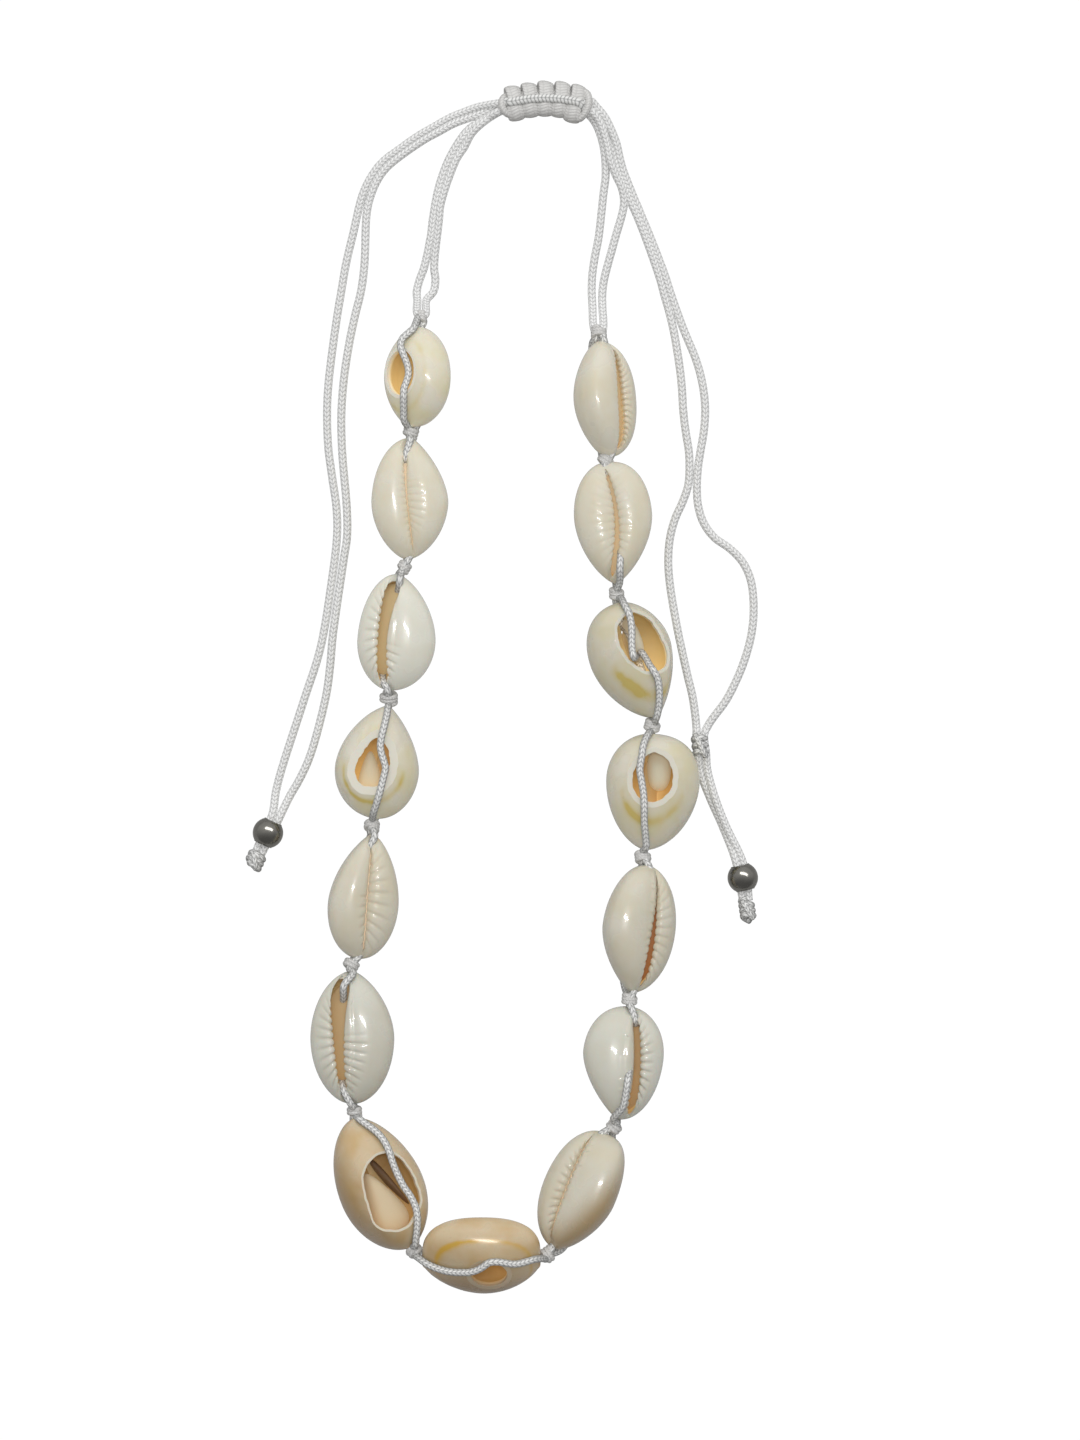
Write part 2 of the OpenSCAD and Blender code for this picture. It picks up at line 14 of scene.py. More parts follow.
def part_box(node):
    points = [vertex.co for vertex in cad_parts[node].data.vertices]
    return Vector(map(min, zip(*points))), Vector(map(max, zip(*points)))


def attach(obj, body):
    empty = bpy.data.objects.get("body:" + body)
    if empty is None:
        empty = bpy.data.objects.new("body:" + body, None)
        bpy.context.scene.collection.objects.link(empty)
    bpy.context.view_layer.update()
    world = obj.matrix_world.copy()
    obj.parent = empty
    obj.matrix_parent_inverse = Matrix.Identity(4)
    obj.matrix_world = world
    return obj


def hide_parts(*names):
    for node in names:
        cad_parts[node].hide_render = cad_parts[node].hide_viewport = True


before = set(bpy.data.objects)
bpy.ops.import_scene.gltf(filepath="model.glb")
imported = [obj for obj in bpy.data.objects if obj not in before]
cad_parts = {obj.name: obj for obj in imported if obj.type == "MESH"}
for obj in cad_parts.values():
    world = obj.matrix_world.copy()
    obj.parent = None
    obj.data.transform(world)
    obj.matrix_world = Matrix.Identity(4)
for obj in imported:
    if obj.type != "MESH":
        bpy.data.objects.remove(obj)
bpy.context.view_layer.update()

MM = 0.001
CORD_R = 0.6             # radius of one strand, mm
CORD_SEEN = 0.65         # the same with its loose plaits, lying free
STRAND_SEEN = 0.58       # and pulled tight over a shell
AROUND = 248   # points round a shell
CORD_STEP = 0.22   # ring spacing along a strand, mm
CORD_SIDES = 14     # points round a strand
WELD = 1e-7              # points closer than this are one, metres
random.seed(7)

# Tables, in mm and degrees.

# tips at the head and tail end; roll about the long axis (0 back up, 180 slit up); half
# width right and left of the heading seen from above; height; where it is widest; taper
# of each side at head and tail; centre and half size of the ground hole; the slit's
# offset at head, middle and tail; where strands a and b cross the hole's rim; skin
SHELL_COLUMNS = ("name head tail roll wide high widest taper_right taper_left "
                 "hole hole_size slit lay skin").split()
SHELLS = [
    ("left_1", (-13.6, 57.7), (-14.4, 41.6), -45, (6.0, 6.1), 7.0, -0.05, (0.1, 0.1), (0.1, 0.1),
     (-0.4, 0.5), (3.1, 3.6), (-0.3, 0.4, 0.2), (-0.5, -0.2), "honey"),
    ("left_2", (-14.9, 40.0), (-15.7, 20.5), 180, (6.3, 6.0), 8.0, -0.05, (0.7, 0.2), (0.0, 0.3),
     (0.0, 0.5), (2.8, 4.0), (-0.9, -0.3, 1.5), (0.3, -0.3), "cream"),
    ("left_3", (-17.1, 18.2), (-18.6, -0.4), 180, (6.9, 5.6), 8.0, -0.15, (0.4, 0.0), (0.0, 0.1),
     (0.0, 0.0), (2.8, 4.0), (0.2, -1.5, -0.6), (0.3, -0.3), "white"),
    ("left_4", (-18.6, -2.8), (-20.8, -20.9), 0, (6.1, 7.4), 8.2, -0.15, (0.7, 0.0), (0.4, 0.0),
     (-1.2, -0.2), (2.8, 4.1), (0.0, 0.3, 0.2), (-0.2, 0.6), "amber"),
    ("left_5", (-21.0, -23.3), (-23.4, -43.3), 195, (5.2, 6.1), 8.2, -0.15, (0.5, 0.0), (0.5, 0.0),
     (0.0, 0.5), (2.8, 4.0), (-0.5, -0.5, 0.5), (0.3, -0.4), "cream"),
    ("left_6", (-24.4, -45.2), (-24.5, -66.5), 180, (6.8, 6.6), 8.2, 0.0, (0.4, 0.0), (0.1, 0.1),
     (0.0, 0.5), (2.8, 4.2), (-1.6, -2.0, -0.9), (0.3, -0.3), "white"),
    ("left_7", (-24.4, -68.8), (-15.3, -89.5), 20, (6.8, 7.0), 8.4, -0.1, (0.25, 0.15), (0.15, 0.1),
     (0.3, -0.9), (3.1, 5.6), (0.0, 0.3, 0.0), (-0.2, 1.6), "peach"),
    ("bottom", (-13.2, -91.3), (5.7, -91.3), -40, (7.8, 6.7), 8.0, 0.0, (-0.48, -0.53), (0.2, 0.2),
     (0.6, -1.25), (2.6, 2.9), (0.0, 0.3, 0.0), (-0.4, -0.1), "peach"),
    ("right_7", (16.1, -71.1), (8.0, -89.7), 150, (6.2, 6.0), 8.2, 0.0, (-0.35, 0.45), (-0.1, 0.0),
     (0.0, 0.0), (2.8, 4.2), (-1.6, -1.1, -0.7), (0.3, -0.3), "cream"),
    ("right_6", (20.0, -50.9), (18.0, -69.0), 180, (6.2, 6.7), 8.2, 0.15, (0.0, 0.0), (-0.1, 0.75),
     (0.0, 0.0), (2.8, 4.0), (0.5, 2.05, 1.7), (0.3, -0.3), "white"),
    ("right_5", (22.8, -28.3), (20.2, -48.7), 205, (5.6, 6.3), 8.4, 0.0, (0.1, 0.1), (0.0, 0.6),
     (0.0, 0.0), (2.8, 4.2), (1.1, 1.0, 0.7), (0.3, -0.3), "cream"),
    ("right_4", (23.5, -7.3), (22.5, -25.9), 0, (8.1, 6.9), 8.2, 0.2, (-0.2, 0.15), (0.0, 0.2),
     (0.3, 2.5), (3.4, 4.1), (0.0, 0.3, 0.0), (-1.4, -0.6), "amber"),
    ("right_3", (17.9, 13.6), (24.2, -4.8), 15, (6.3, 7.2), 8.2, 0.15, (0.2, 0.6), (-0.2, 0.4),
     (0.6, 2.3), (3.2, 4.4), (0.0, 0.3, 0.0), (-1.4, 0.6), "honey"),
    ("right_2", (16.2, 36.1), (17.8, 16.6), 180, (6.6, 5.9), 8.0, 0.1, (-0.2, 0.55), (0.0, 0.4),
     (0.0, 0.0), (2.8, 4.0), (-0.73, 0.85, -1.2), (0.3, -0.3), "cream"),
    ("right_1", (15.3, 55.5), (16.7, 36.9), 230, (5.4, 5.4), 7.6, 0.0, (0.1, -0.25), (0.2, 0.2),
     (0.0, 0.0), (2.6, 3.8), (1.4, 0.3, 0.9), (2.0, 2.0), "cream"),
]
SHELLS = [SimpleNamespace(**dict(zip(SHELL_COLUMNS, row))) for row in SHELLS]

# half width of the slit at head, middle and tail; ribs on each lip, and how deep they
# are; how far the ribs to the viewer's right and left reach over the lip, and from and to
# where along the slit; where the strand sinks into the slit at head and tail (1 where it
# stays hidden); how nearly the slit is closed by its pale inner lip, or how reddish brown
# it is inside (below 0); how far to the viewer's right of the slit the strand lies at
# head and tail
LIP_COLUMNS = "name gap ribs rib_deep right left sink fill aside".split()
LIPS = [
    ("left_2", (0.26, 0.07, 0.06), 17, 0.045, (0.6, -0.5, 0.3), (0.2, -0.85, 0.85),
     (0.66, 1), 0.9, (0, 0)),
    ("left_3", (1.15, 0.72, 0.75), 13, 0.13, (0.35, -0.9, -0.2), (0.85, -0.88, 0.85),
     (0.76, 0.86), 0.0, (1.1, 0)),
    ("left_5", (0.06, 0.05, 0.06), 12, 0.09, (0.9, -0.85, 0.95), (0.3, -0.9, 0.1),
     (0.8, 1), 1.0, (0, 0)),
    ("left_6", (1.50, 0.80, 0.50), 16, 0.13, (0.55, -0.95, 0.05), (0.9, -0.92, 0.9),
     (0.62, 0.76), -0.25, (0.85, 0)),
    ("right_7", (0.05, 0.06, 0.08), 15, 0.15, (0.12, -0.85, 0.85), (0.35, -0.9, 0.85),
     (1, 1), 1.0, (0, 0)),
    ("right_6", (0.45, 0.50, 0.55), 14, 0.16, (0.65, -0.9, 0.85), (0.3, -0.95, -0.45),
     (0.78, 0.05), -0.4, (0, -1.5)),
    ("right_5", (-0.25, 0.30, 0.40), 15, 0.08, (0.85, -0.9, 0.85), (0.12, -0.8, 0.8),
     (1, 1), -1, (0, 0)),
    ("right_2", (0.20, 0.28, 0.40), 15, 0.035, (0.5, -0.85, 0.8), (0.8, -0.9, 0.8),
     (1, 0.5), 0.4, (0, 1.1)),
    ("right_1", (0.50, 0.75, 0.85), 18, 0.09, (0.42, -0.85, 0.85), (0.06, -0.8, 0.8),
     (1, 1), 0.2, (0, 0)),
]
PLAIN_LIP = ("", (0.3, 0.25, 0.35), 12, 0.15, (0.35, -0.8, 0.8), (0.35, -0.8, 0.8),
             (0.62, 0.62), 0.0, (0, 0))
LIPS = {row[0]: SimpleNamespace(**dict(zip(LIP_COLUMNS, row))) for row in LIPS + [PLAIN_LIP]}

# width of the ground rim; the golden ring's place on the back (0 at the rim, 1 at the
# margin), its half width, and its strength at head and tail side; the pale inner whorl's
# centre, half size, taper, turn, and its top as a part of the shell's height; how strongly
# the inside glows with painted light, for the light it lets through; the hole's centre and
# its radii from the right round by the head, where it isn't a plain oval
HOLE_COLUMNS = "name rim ring coil glow outline".split()
HOLES = [
    ("left_1", 0.5, (0.45, 0.10, 0.3, 0.6), ((1.2, -1.5), (1.2, 2.6), 0.2, 0, 0.38), 2.0, None),
    ("left_4", 1.3, (0.30, 0.11, -2.3, 1.7), ((-1.7, -1.9), (1.6, 3.4), 0.55, 6, 0.60), 1.6,
     ((-1.2, -0.2), (2.6, 2.75, 3.35, 3.9, 2.75, 2.3, 2.55, 3.2, 3.9, 3.9, 3.5, 2.9))),
    ("left_7", 0.35, (0.55, 0.20, 0.2, 0.15), ((-0.9, -3.0), (2.3, 5.4), 0.6, 8, 0.72), 0.7,
     ((-0.32, -1.61), (4.43, 4.69, 5.4, 6.2, 6.0, 5.5, 4.74, 4.15,
                       4.08, 4.7, 5.9, 6.0, 6.1, 5.42, 5.24, 4.67))),
    ("bottom", 0.7, (0.66, 0.05, 1.8, 1.8), ((-1.4, -0.4), (0.9, 2.2), 0.2, 0, 0.35), 0.9, None),
    ("right_4", 0.85, (0.34, 0.12, -2.2, 1.2), ((1.5, 3.4), (1.9, 3.2), -0.1, 2, 0.70), 1.5,
     ((0.3, 2.5), (3.35, 3.45, 3.7, 3.8, 3.2, 3.0, 3.05, 3.4, 3.9, 4.1, 3.85, 3.6))),
    ("right_3", 0.5, (0.50, 0.14, -3.0, 2.4), ((0.9, 3.6), (1.1, 3.2), 0.0, 2, 0.66), 2.0,
     ((0.6, 2.3), (3.26, 3.4, 4.2, 5.1, 4.9, 4.0, 3.4, 3.35, 3.8, 4.8, 5.2, 4.0))),
]
PLAIN_HOLE = ("", 0.8, (0.45, 0.10, 0.2, 0.2), None, 1.0, None)
HOLES = {row[0]: SimpleNamespace(**dict(zip(HOLE_COLUMNS, row))) for row in HOLES + [PLAIN_HOLE]}

# which side of a shell gets painted shade, darker and browner (1 right of the heading), how
# strongly, how much more towards the tail, and how much painted glow the shell's wall gives
# out, for the light it lets through
TONES = {
    "left_1": (1, 0.0, 0.0, 0.45), "left_2": (1, 0.0, 0.0, 0.45), "left_3": (1, 0.0, 0.0, 0.45),
    "left_4": (1, 0.0, 0.0, 0.25), "left_5": (1, 0.0, 0.0, 0.12), "left_6": (1, 0.2, 0.2, 0.0),
    "left_7": (-1, 0.8, 0.4, 0.0), "bottom": (-1, 1.7, -0.1, 0.0), "right_7": (1, 1.4, 0.7, 0.0),
    "right_4": (1, 0.0, 0.0, 0.12), "right_2": (1, 0.0, 0.0, 0.28), "right_1": (1, 0.0, 0.0, 0.3),
}
PLAIN_TONE = (1, 0.0, 0.0, 0.0)
# how chalky the ground rim is, where it isn't quite white
CHALK = {"bottom": 0.4}
# a dark body of painted shadow in the gap beside the inner whorl: centre, half size, taper,
# turn, and its top
SHADOW_FOLDS = {"left_7": ((1.75, -0.4), (0.55, 4.9), -0.5, 19, 0.47)}

# the strand that crosses each back, from the head, seen from above
LAID = {
    "left_1": [
        (-14.7, 57.1), (-16.2, 55.8), (-16.6, 54.5), (-16.2, 53.2), (-15.7, 52.0), (-15.3, 50.4),
        (-15.5, 49.1), (-16.0, 47.8), (-16.1, 46.2), (-16.1, 44.3), (-16.0, 42.3)],
    "left_4": [
        (-18.8, -4.2), (-19.2, -6.1), (-19.6, -7.7), (-19.8, -9.6), (-19.4, -11.2), (-19.0, -12.5),
        (-19.2, -13.8), (-19.6, -15.4), (-20.0, -17.0), (-20.6, -18.9), (-21.2, -20.7)],
    "left_7": [
        (-21.9, -69.7), (-20.5, -70.7), (-19.2, -72.2), (-18.4, -73.8), (-17.8, -75.7), (-17.0, -77.6),
        (-16.0, -79.5), (-14.9, -81.1), (-14.1, -83.0), (-13.9, -85.3), (-14.1, -87.2), (-14.4, -89.1)],
    "bottom": [
        (-12.6, -91.6), (-11.0, -92.3), (-9.0, -92.8), (-7.0, -92.9), (-5.0, -92.7), (-3.6, -92.0),
        (-2.2, -91.1), (-0.3, -91.2), (1.7, -91.5), (3.7, -91.1), (5.3, -90.8)],
    "right_4": [
        (22.9, -7.3), (22.1, -9.0), (21.8, -10.9), (21.5, -13.1), (21.8, -15.0), (22.1, -17.0),
        (22.2, -19.2), (22.2, -21.1), (22.4, -23.4), (22.5, -25.6)],
    "right_3": [
        (18.3, 14.6), (19.0, 13.3), (19.8, 11.7), (20.2, 9.4), (20.2, 7.2), (20.4, 5.3), (21.0, 3.4)],
}
# the second strand of right_3, which comes out of the hole and runs on to the tail
LAID_TAIL = {
    "right_3": [
        (21.1, 6.2), (22.1, 5.3), (23.0, 3.7), (24.2, 1.8), (24.6, -0.2), (24.6, -2.1), (24.4, -4.0)],
}

MARGIN_PART = 0.40      # height of the widest line as a part of the shell's height
TIP_PART = 0.51         # the same at the tips
LIP_T = 1.1             # thickness of the base at the slit
RIM = 0.6               # where the ground rim cuts the domed back
RAY_FROM = 0.05         # above every piece, metres
SLIT_V = 0.87           # the slit's end, from -1 at the tail to 1 at the head
TIP_V = 0.93            # where a strand comes under the tip, on the same scale
VALLEY = 0.85           # how deep the lips fall to the slit
CANAL_DEEP, CANAL_WIDE = 0.75, 0.85    # the canal at each tip that the strand lies in
SLIT_UP = 0.35          # the slit's inner edge lies this much further in than LIP_T
CLEAR = 0.03            # between a strand and the shell that it lies on

# middle of the first and the last small knot, and where the cords come from there
KNOT_FIRST, FROM_LEFT = (-13.4, 59.3), (-13.3, 61.5, 2.5)
KNOT_LAST, FROM_RIGHT = (15.4, 56.7), (15.2, 59.0, 2.5)
KNOT_UNDER = 0.6        # those two knots lie this much lower than the shell's tip
KNOT_OFF = 0.6          # a strand's distance from a small knot's middle where it leaves
SIDE_STEP = 0.62        # sideways distance of the strands where they enter a knot

# half width and length of each small knot, from the first shell's head round to the
# last's, and how far it is pulled aside in x and y
SMALL_KNOTS = [
    (0.95, 2.2, 0.0, 0.0), (1.3, 2.1, -0.4, 0.0), (1.15, 2.0, 0.3, 0.0), (1.5, 2.2, 0.0, 0.0),
    (1.3, 2.0, -0.4, 0.0), (1.35, 2.0, -0.7, 0.0), (1.25, 2.0, 0.4, 0.0), (1.35, 2.2, -0.2, 0.5),
    (1.35, 2.2, 0.0, 0.0), (1.3, 2.1, 0.45, 0.0), (1.3, 2.0, -0.2, 0.0), (1.35, 2.0, -0.6, 0.0),
    (1.35, 2.0, -0.3, 0.0), (1.25, 2.0, 0.0, 0.0), (1.3, 2.1, -0.35, 0.0), (1.3, 2.4, -0.4, 0.0),
]

# the sliding knot: x of its middle, y of its top, how much it bows, and the distance
# from one slice to the next in the CAD
SLIDE_MID, SLIDE_TOP, SLIDE_BOW, SLIDE_STEP = 6.4, 94.37, 0.022, 2.1
SLIDE_UP = 1.6          # height at which the cords leave it

# cords from the sliding knot to the first and last small knots: which end of the sliding
# knot, how far across it they leave, then their route; a point without a height lies on
# the table
SIDE_CORDS = {
    "side_left_a": (-1, -0.6, [
        (-4.3, 90.7, 0.7), (-6.0, 89.6), (-8.9, 85.4), (-10.8, 80.5), (-11.8, 75.3), (-12.1, 72.7),
        (-13.0, 67.6), (-13.8, 65.4), (-14.2, 63.6, 0.9), (-14.1, 62.3, 1.5)]),
    "side_left_b": (-1, -1.8, [
        (-3.4, 89.6, 0.7), (-5.1, 88.6), (-6.3, 86.9), (-7.7, 84.8), (-10.1, 77.7), (-10.4, 75.1),
        (-11.4, 67.6), (-11.2, 65.6), (-11.5, 63.7, 0.9), (-12.6, 62.3, 1.5)]),
    "side_right_a": (1, -1.8, [
        (14.0, 90.3, 0.8), (15.1, 87.0), (15.8, 82.4), (15.7, 79.4), (15.0, 72.3), (14.4, 69.2),
        (14.0, 66.4), (13.9, 63.8, 0.8), (14.0, 61.6, 1.3)]),
    "side_right_b": (1, -0.6, [
        (15.2, 91.0, 0.8), (16.4, 87.2), (16.8, 85.0), (17.4, 82.5), (18.2, 80.2), (18.4, 77.8),
        (17.3, 71.8), (15.9, 65.6), (15.6, 63.2, 0.8), (15.6, 61.5, 1.3)]),
}

# the tails, strand by strand: which end of the sliding knot, how far across it they
# leave, which side of the bead's bore they take, and their route in the same form
TAILS = {
    "tail_left_outer": (-1, 1.8, -1, [
        (-4.2, 93.6, 0.8), (-6.4, 92.8), (-8.8, 91.8), (-11.3, 90.5), (-13.9, 89.1), (-17.2, 86.8),
        (-19.9, 84.7), (-21.7, 82.2), (-23.0, 79.2), (-24.5, 72.6), (-25.5, 68.4), (-26.3, 63.8),
        (-27.1, 58.9), (-28.4, 48.6), (-28.6, 43.6), (-28.4, 38.6), (-27.8, 34.0), (-27.1, 29.0),
        (-27.0, 24.6), (-28.0, 16.2), (-29.7, 6.3), (-32.3, -1.9), (-36.0, -13.4, 0.7),
        (-36.8, -16.6, 0.9)]),
    "tail_left_inner": (-1, 0.6, 1, [
        (-4.1, 92.2, 0.8), (-8.2, 90.6), (-10.7, 89.2), (-13.2, 87.8), (-18.8, 83.6), (-20.4, 81.5),
        (-21.6, 78.8), (-22.2, 76.2), (-22.6, 68.0), (-23.1, 64.0), (-24.2, 59.4), (-25.1, 55.0),
        (-25.9, 49.6), (-26.3, 44.0), (-26.2, 38.4), (-25.4, 28.4), (-25.4, 24.2), (-25.9, 20.8),
        (-27.7, 8.2), (-28.1, 3.6), (-28.8, -1.4), (-31.3, -10.8), (-33.0, -14.6, 0.7),
        (-34.6, -17.4, 0.9)]),
    "tail_right_outer": (1, 1.8, 1, [
        (15.9, 94.1, 0.8), (17.4, 92.2), (18.4, 90.0), (19.2, 87.5), (19.6, 85.2), (20.1, 83.0),
        (24.2, 71.9), (26.1, 66.2), (26.9, 63.3), (28.6, 57.9), (30.7, 52.6), (31.6, 49.3),
        (32.1, 45.6), (32.0, 42.0), (31.0, 35.6), (30.8, 32.4), (31.0, 29.3), (31.9, 26.5),
        (33.6, 24.2), (36.1, 22.4), (38.1, 20.3), (39.4, 17.5), (39.9, 13.6), (39.7, 9.6), (38.8, 5.6),
        (37.3, 1.6), (35.4, -2.1), (33.6, -4.5), (32.6, -6.0, 0.7)]),
    "tail_right_inner": (1, 0.6, -1, [
        (15.3, 92.9, 0.8), (16.5, 91.1), (17.4, 89.0), (17.9, 87.2), (18.2, 85.0), (18.8, 82.6),
        (20.0, 79.5), (21.8, 74.6), (24.8, 65.9), (25.6, 63.0), (26.4, 60.2), (27.1, 57.2),
        (28.1, 51.0), (28.4, 48.0), (28.6, 44.6), (29.0, 41.2), (29.5, 38.0), (29.6, 35.2),
        (29.4, 32.6), (28.5, 29.9), (27.3, 27.2), (26.5, 24.2), (26.2, 20.6), (26.4, 17.2),
        (27.5, 10.4), (29.2, 2.4), (30.1, -1.4), (30.7, -6.0, 0.7)]),
}

# near the sliding knot the cords are drawn together and ride on one another: how far
# along the cord, then its shift in x, y and z
DRAWN_IN = {
    "tail_left_outer": [
        (0, 0.3, -1.2, 0.6), (3.5, 0, -0.25, 0.3), (8, 0, -0.15, 0), (14, 0.1, -0.3, 0),
        (22, 0.15, -0.25, 0), (32, 0, 0, 0)],
    "tail_left_inner": [
        (0, 0, 0, -0.5), (3.5, 0, 0, 0), (12, 0, 0.15, 0), (22, -0.1, 0.15, 0), (32, 0, 0, 0)],
    "side_left_a": [
        (0, 0, 0, 0.6), (3.5, 0, 0.1, 0.2), (6, 0, 0, 0), (14, 0.15, 0, 0), (24, 0.2, 0, 0),
        (28, 0, 0, 0)],
    "side_left_b": [
        (0, -0.3, 1.15, -0.5), (3.2, -0.3, 1.3, 0.9), (5.2, -0.4, 0.4, 0.8), (7.5, -0.25, 0, 0.3),
        (13, -0.15, 0, 0.3), (17, -0.25, 0, 0.6), (24, -0.2, 0, 0.4), (28, 0, 0, 0)],
    "tail_right_outer": [
        (0, -0.2, -0.8, 0.5), (2.5, -1.4, -0.8, 1.0), (5, -1.5, -0.4, 1.0), (10, -1.3, -0.1, 0.6),
        (14, -1.1, 0, 0.2), (22, -0.85, 0, 0), (30, -0.5, 0, 0), (42, 0, 0, 0)],
    "tail_right_inner": [
        (0, 0, -0.2, -0.5), (2.5, -0.7, -0.5, 0), (5, -0.8, -0.2, 0), (12, -0.6, 0, 0),
        (18, -0.4, 0, 0), (24, 0.1, 0, 0), (32, 0, 0, 0)],
    "side_right_b": [
        (0, 0, 0.2, 0.5), (2.5, -0.1, 0, 1.0), (9, 0, 0, 1.0), (13, 0.5, 0, 0.5), (16, 0.7, 0, 0.1),
        (20, 0.4, 0, 0), (26, 0, 0, 0)],
    "side_right_a": [
        (0, 0.2, 0.65, -0.5), (3, 0.85, 0, 0), (8, 0.5, 0, 0), (14, 0, 0, 0)],
}
BEAD_D, BEAD_BORE = 4.9, 2.6
BEAD_UP = BEAD_D / 2 + 0.05     # a bead's middle over the table
PAIR_HALF = 0.63                # half the distance of two strands in a bore
INTO_KNOT = 0.6                 # how far a strand reaches into its end knot
# place of each bead, and the way of its bore
BEADS = {"left": ((-38.0, -23.2), (-0.42, -0.9)), "right": ((38.1, -30.4), (0.22, -0.97))}
TIE_AT, TIE_WAY = (31.5, -9.0, 1.4), (0.1, -1.0, 0.0)
# the right tail's way from the tie to the bead, and its direction
RIGHT_LOWER = [(32.8, -13.2, 0.6), (33.9, -17.6, 0.6), (35.5, -22.2, 0.8)]
LOWER_WAY = (0.33, -0.95)
# how far the pair is drawn in there, how far apart its strands are, as a part of their
# distance in the bore, and how high the outer one rides on the other
RIGHT_PAIR = [(-0.9, 0.95, 0.35), (-0.6, 0.6, 1.05), (-0.3, 0.4, 1.15)]
END_WAY = {"left": (-0.42, -0.9), "right": (0.14, -0.99)}     # how each end knot hangs
END_OUT = 0.7                   # from a bead to its end knot
END_KNOTS = {"left": (3.4, 1.6, 2.8), "right": (4.1, 1.35, 3.6)}   # length, half width, turns


# Small helpers.

def unit(v):
    v = np.asarray(v, float)
    return v / np.linalg.norm(v)


def mix(a, b, f):
    return a + (b - a) * f


def smooth(x, low, high):
    x = np.clip((x - low) / (high - low), 0, 1)
    return x * x * (3 - 2 * x)


def turn_z(p, degrees):
    c, s = math.cos(math.radians(degrees)), math.sin(math.radians(degrees))
    p = np.asarray(p, float)
    return np.stack([p[..., 0] * c - p[..., 1] * s, p[..., 0] * s + p[..., 1] * c, p[..., 2]], -1)


def turn_y(p, degrees):
    c, s = math.cos(math.radians(degrees)), math.sin(math.radians(degrees))
    p = np.asarray(p, float)
    return np.stack([p[..., 0] * c + p[..., 2] * s, p[..., 1], p[..., 2] * c - p[..., 0] * s], -1)


def grid_bmesh(across, rows):
    """A flat bmesh grid with, for each vertex, its column and row."""
    bm = bmesh.new()
    bmesh.ops.create_grid(bm, x_segments=across, y_segments=rows - 1, size=1.0)
    bm.verts.index_update()
    co = np.array([v.co for v in bm.verts])
    span = co.max(0) - co.min(0)
    col = np.rint((co[:, 0] - co[:, 0].min()) / span[0] * across).astype(int)
    row = np.rint((co[:, 1] - co[:, 1].min()) / span[1] * (rows - 1)).astype(int)
    return bm, col, row


def bent_sheet(across, points, masks=None, uv=None):
    """Bends a grid to points[row, column], in mm, and welds its seam. masks are named
    numbers for each point; uv gives each point its place on the pattern."""
    rows = points.shape[0]
    bm, col, row = grid_bmesh(across, rows)
    for v, p in zip(bm.verts, points[row, col] * MM):
        v.co = p
    for name, values in (masks or {}).items():
        layer = bm.verts.layers.float.new(name)
        for v, x in zip(bm.verts, values[row, col]):
            v[layer] = x
    if uv is not None:
        layer = bm.loops.layers.uv.new("UVMap")
        places = uv[row, col]
        for face in bm.faces:
            for loop in face.loops:
                loop[layer].uv = places[loop.vert.index]
    bmesh.ops.remove_doubles(bm, verts=bm.verts, dist=WELD)
    return bm


def close_ends(bm):
    edges = [e for e in bm.edges if e.is_boundary]
    if edges:
        bmesh.ops.holes_fill(bm, edges=edges, sides=0)


def finish_piece(bm, name, material, nodes):
    """Turns a bmesh into a piece that rides on the root body."""
    bmesh.ops.recalc_face_normals(bm, faces=bm.faces)
    mesh = bpy.data.meshes.new(name)
    bm.to_mesh(mesh)
    bm.free()
    mesh.polygons.foreach_set("use_smooth", [True] * len(mesh.polygons))
    mesh.materials.append(material)
    piece = bpy.data.objects.new(name, mesh)
    bpy.context.scene.collection.objects.link(piece)
    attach(piece, "root")
    if nodes:
        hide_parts(*nodes)
    return piece


def joined(parts):
    """One bmesh that holds them all, with every part's masks and UV map."""
    whole = bmesh.new()
    for bm in parts:
        for name in bm.verts.layers.float.keys():
            if name not in whole.verts.layers.float.keys():
                whole.verts.layers.float.new(name)
        for name in bm.loops.layers.uv.keys():
            if name not in whole.loops.layers.uv.keys():
                whole.loops.layers.uv.new(name)
    for bm in parts:
        mesh = bpy.data.meshes.new("part")
        bm.to_mesh(mesh)
        bm.free()
        whole.from_mesh(mesh)
        bpy.data.meshes.remove(mesh)
    return whole


# The shape of a shell.

def taper(u, t):
    return np.clip(1 - np.abs(u) ** (2 - 0.5 * t), 0, None) ** (0.5 + 0.5 * t)


def side_width(v, wide, widest, ends):
    return wide * np.where(v >= widest, taper((v - widest) / (1 - widest), ends[0]),
                           taper((widest - v) / (1 + widest), ends[1]))


def flip(s):
    return -1 if math.cos(math.radians(s.roll)) < 0 else 1


def half_len(s):
    return math.dist(s.head, s.tail) / 2


def width_at(s, v, right):
    """Half width at v on the local right (True) or left of the shell."""
    a = side_width(v, s.wide[0], s.widest, s.taper_right)
    b = side_width(v, s.wide[1], s.widest, s.taper_left)
    return np.where(right == (flip(s) > 0), a, b)


def edge(s, t):
    v = np.sin(np.radians(t))
    right = np.cos(np.radians(t)) >= 0
    return np.where(right, 1, -1) * width_at(s, v, right), v * half_len(s)


def margin_z(s, v):
    return s.high * mix(MARGIN_PART, TIP_PART, np.abs(v) ** 4)


def dome(q):
    return np.clip(1 - q ** 2.2, 0, None) ** (1 / 2.2)


def lip(s):
    return LIPS.get(s.name, LIPS[""])


def hole(s):
    return HOLES.get(s.name, HOLES[""])


def round_table(values, degrees):
    """Reads values that are spread evenly round a circle, smoothly in between."""
    n = len(values)
    p = np.mod(degrees, 360) / 360 * n
    i = np.floor(p).astype(int)
    f = p - i
    a, b, c, d = (np.array(values)[(i + k) % n] for k in (-1, 0, 1, 2))
    return b + 0.5 * f * (c - a + f * (2 * a - 5 * b + 4 * c - d + f * (3 * (b - c) + d - a)))


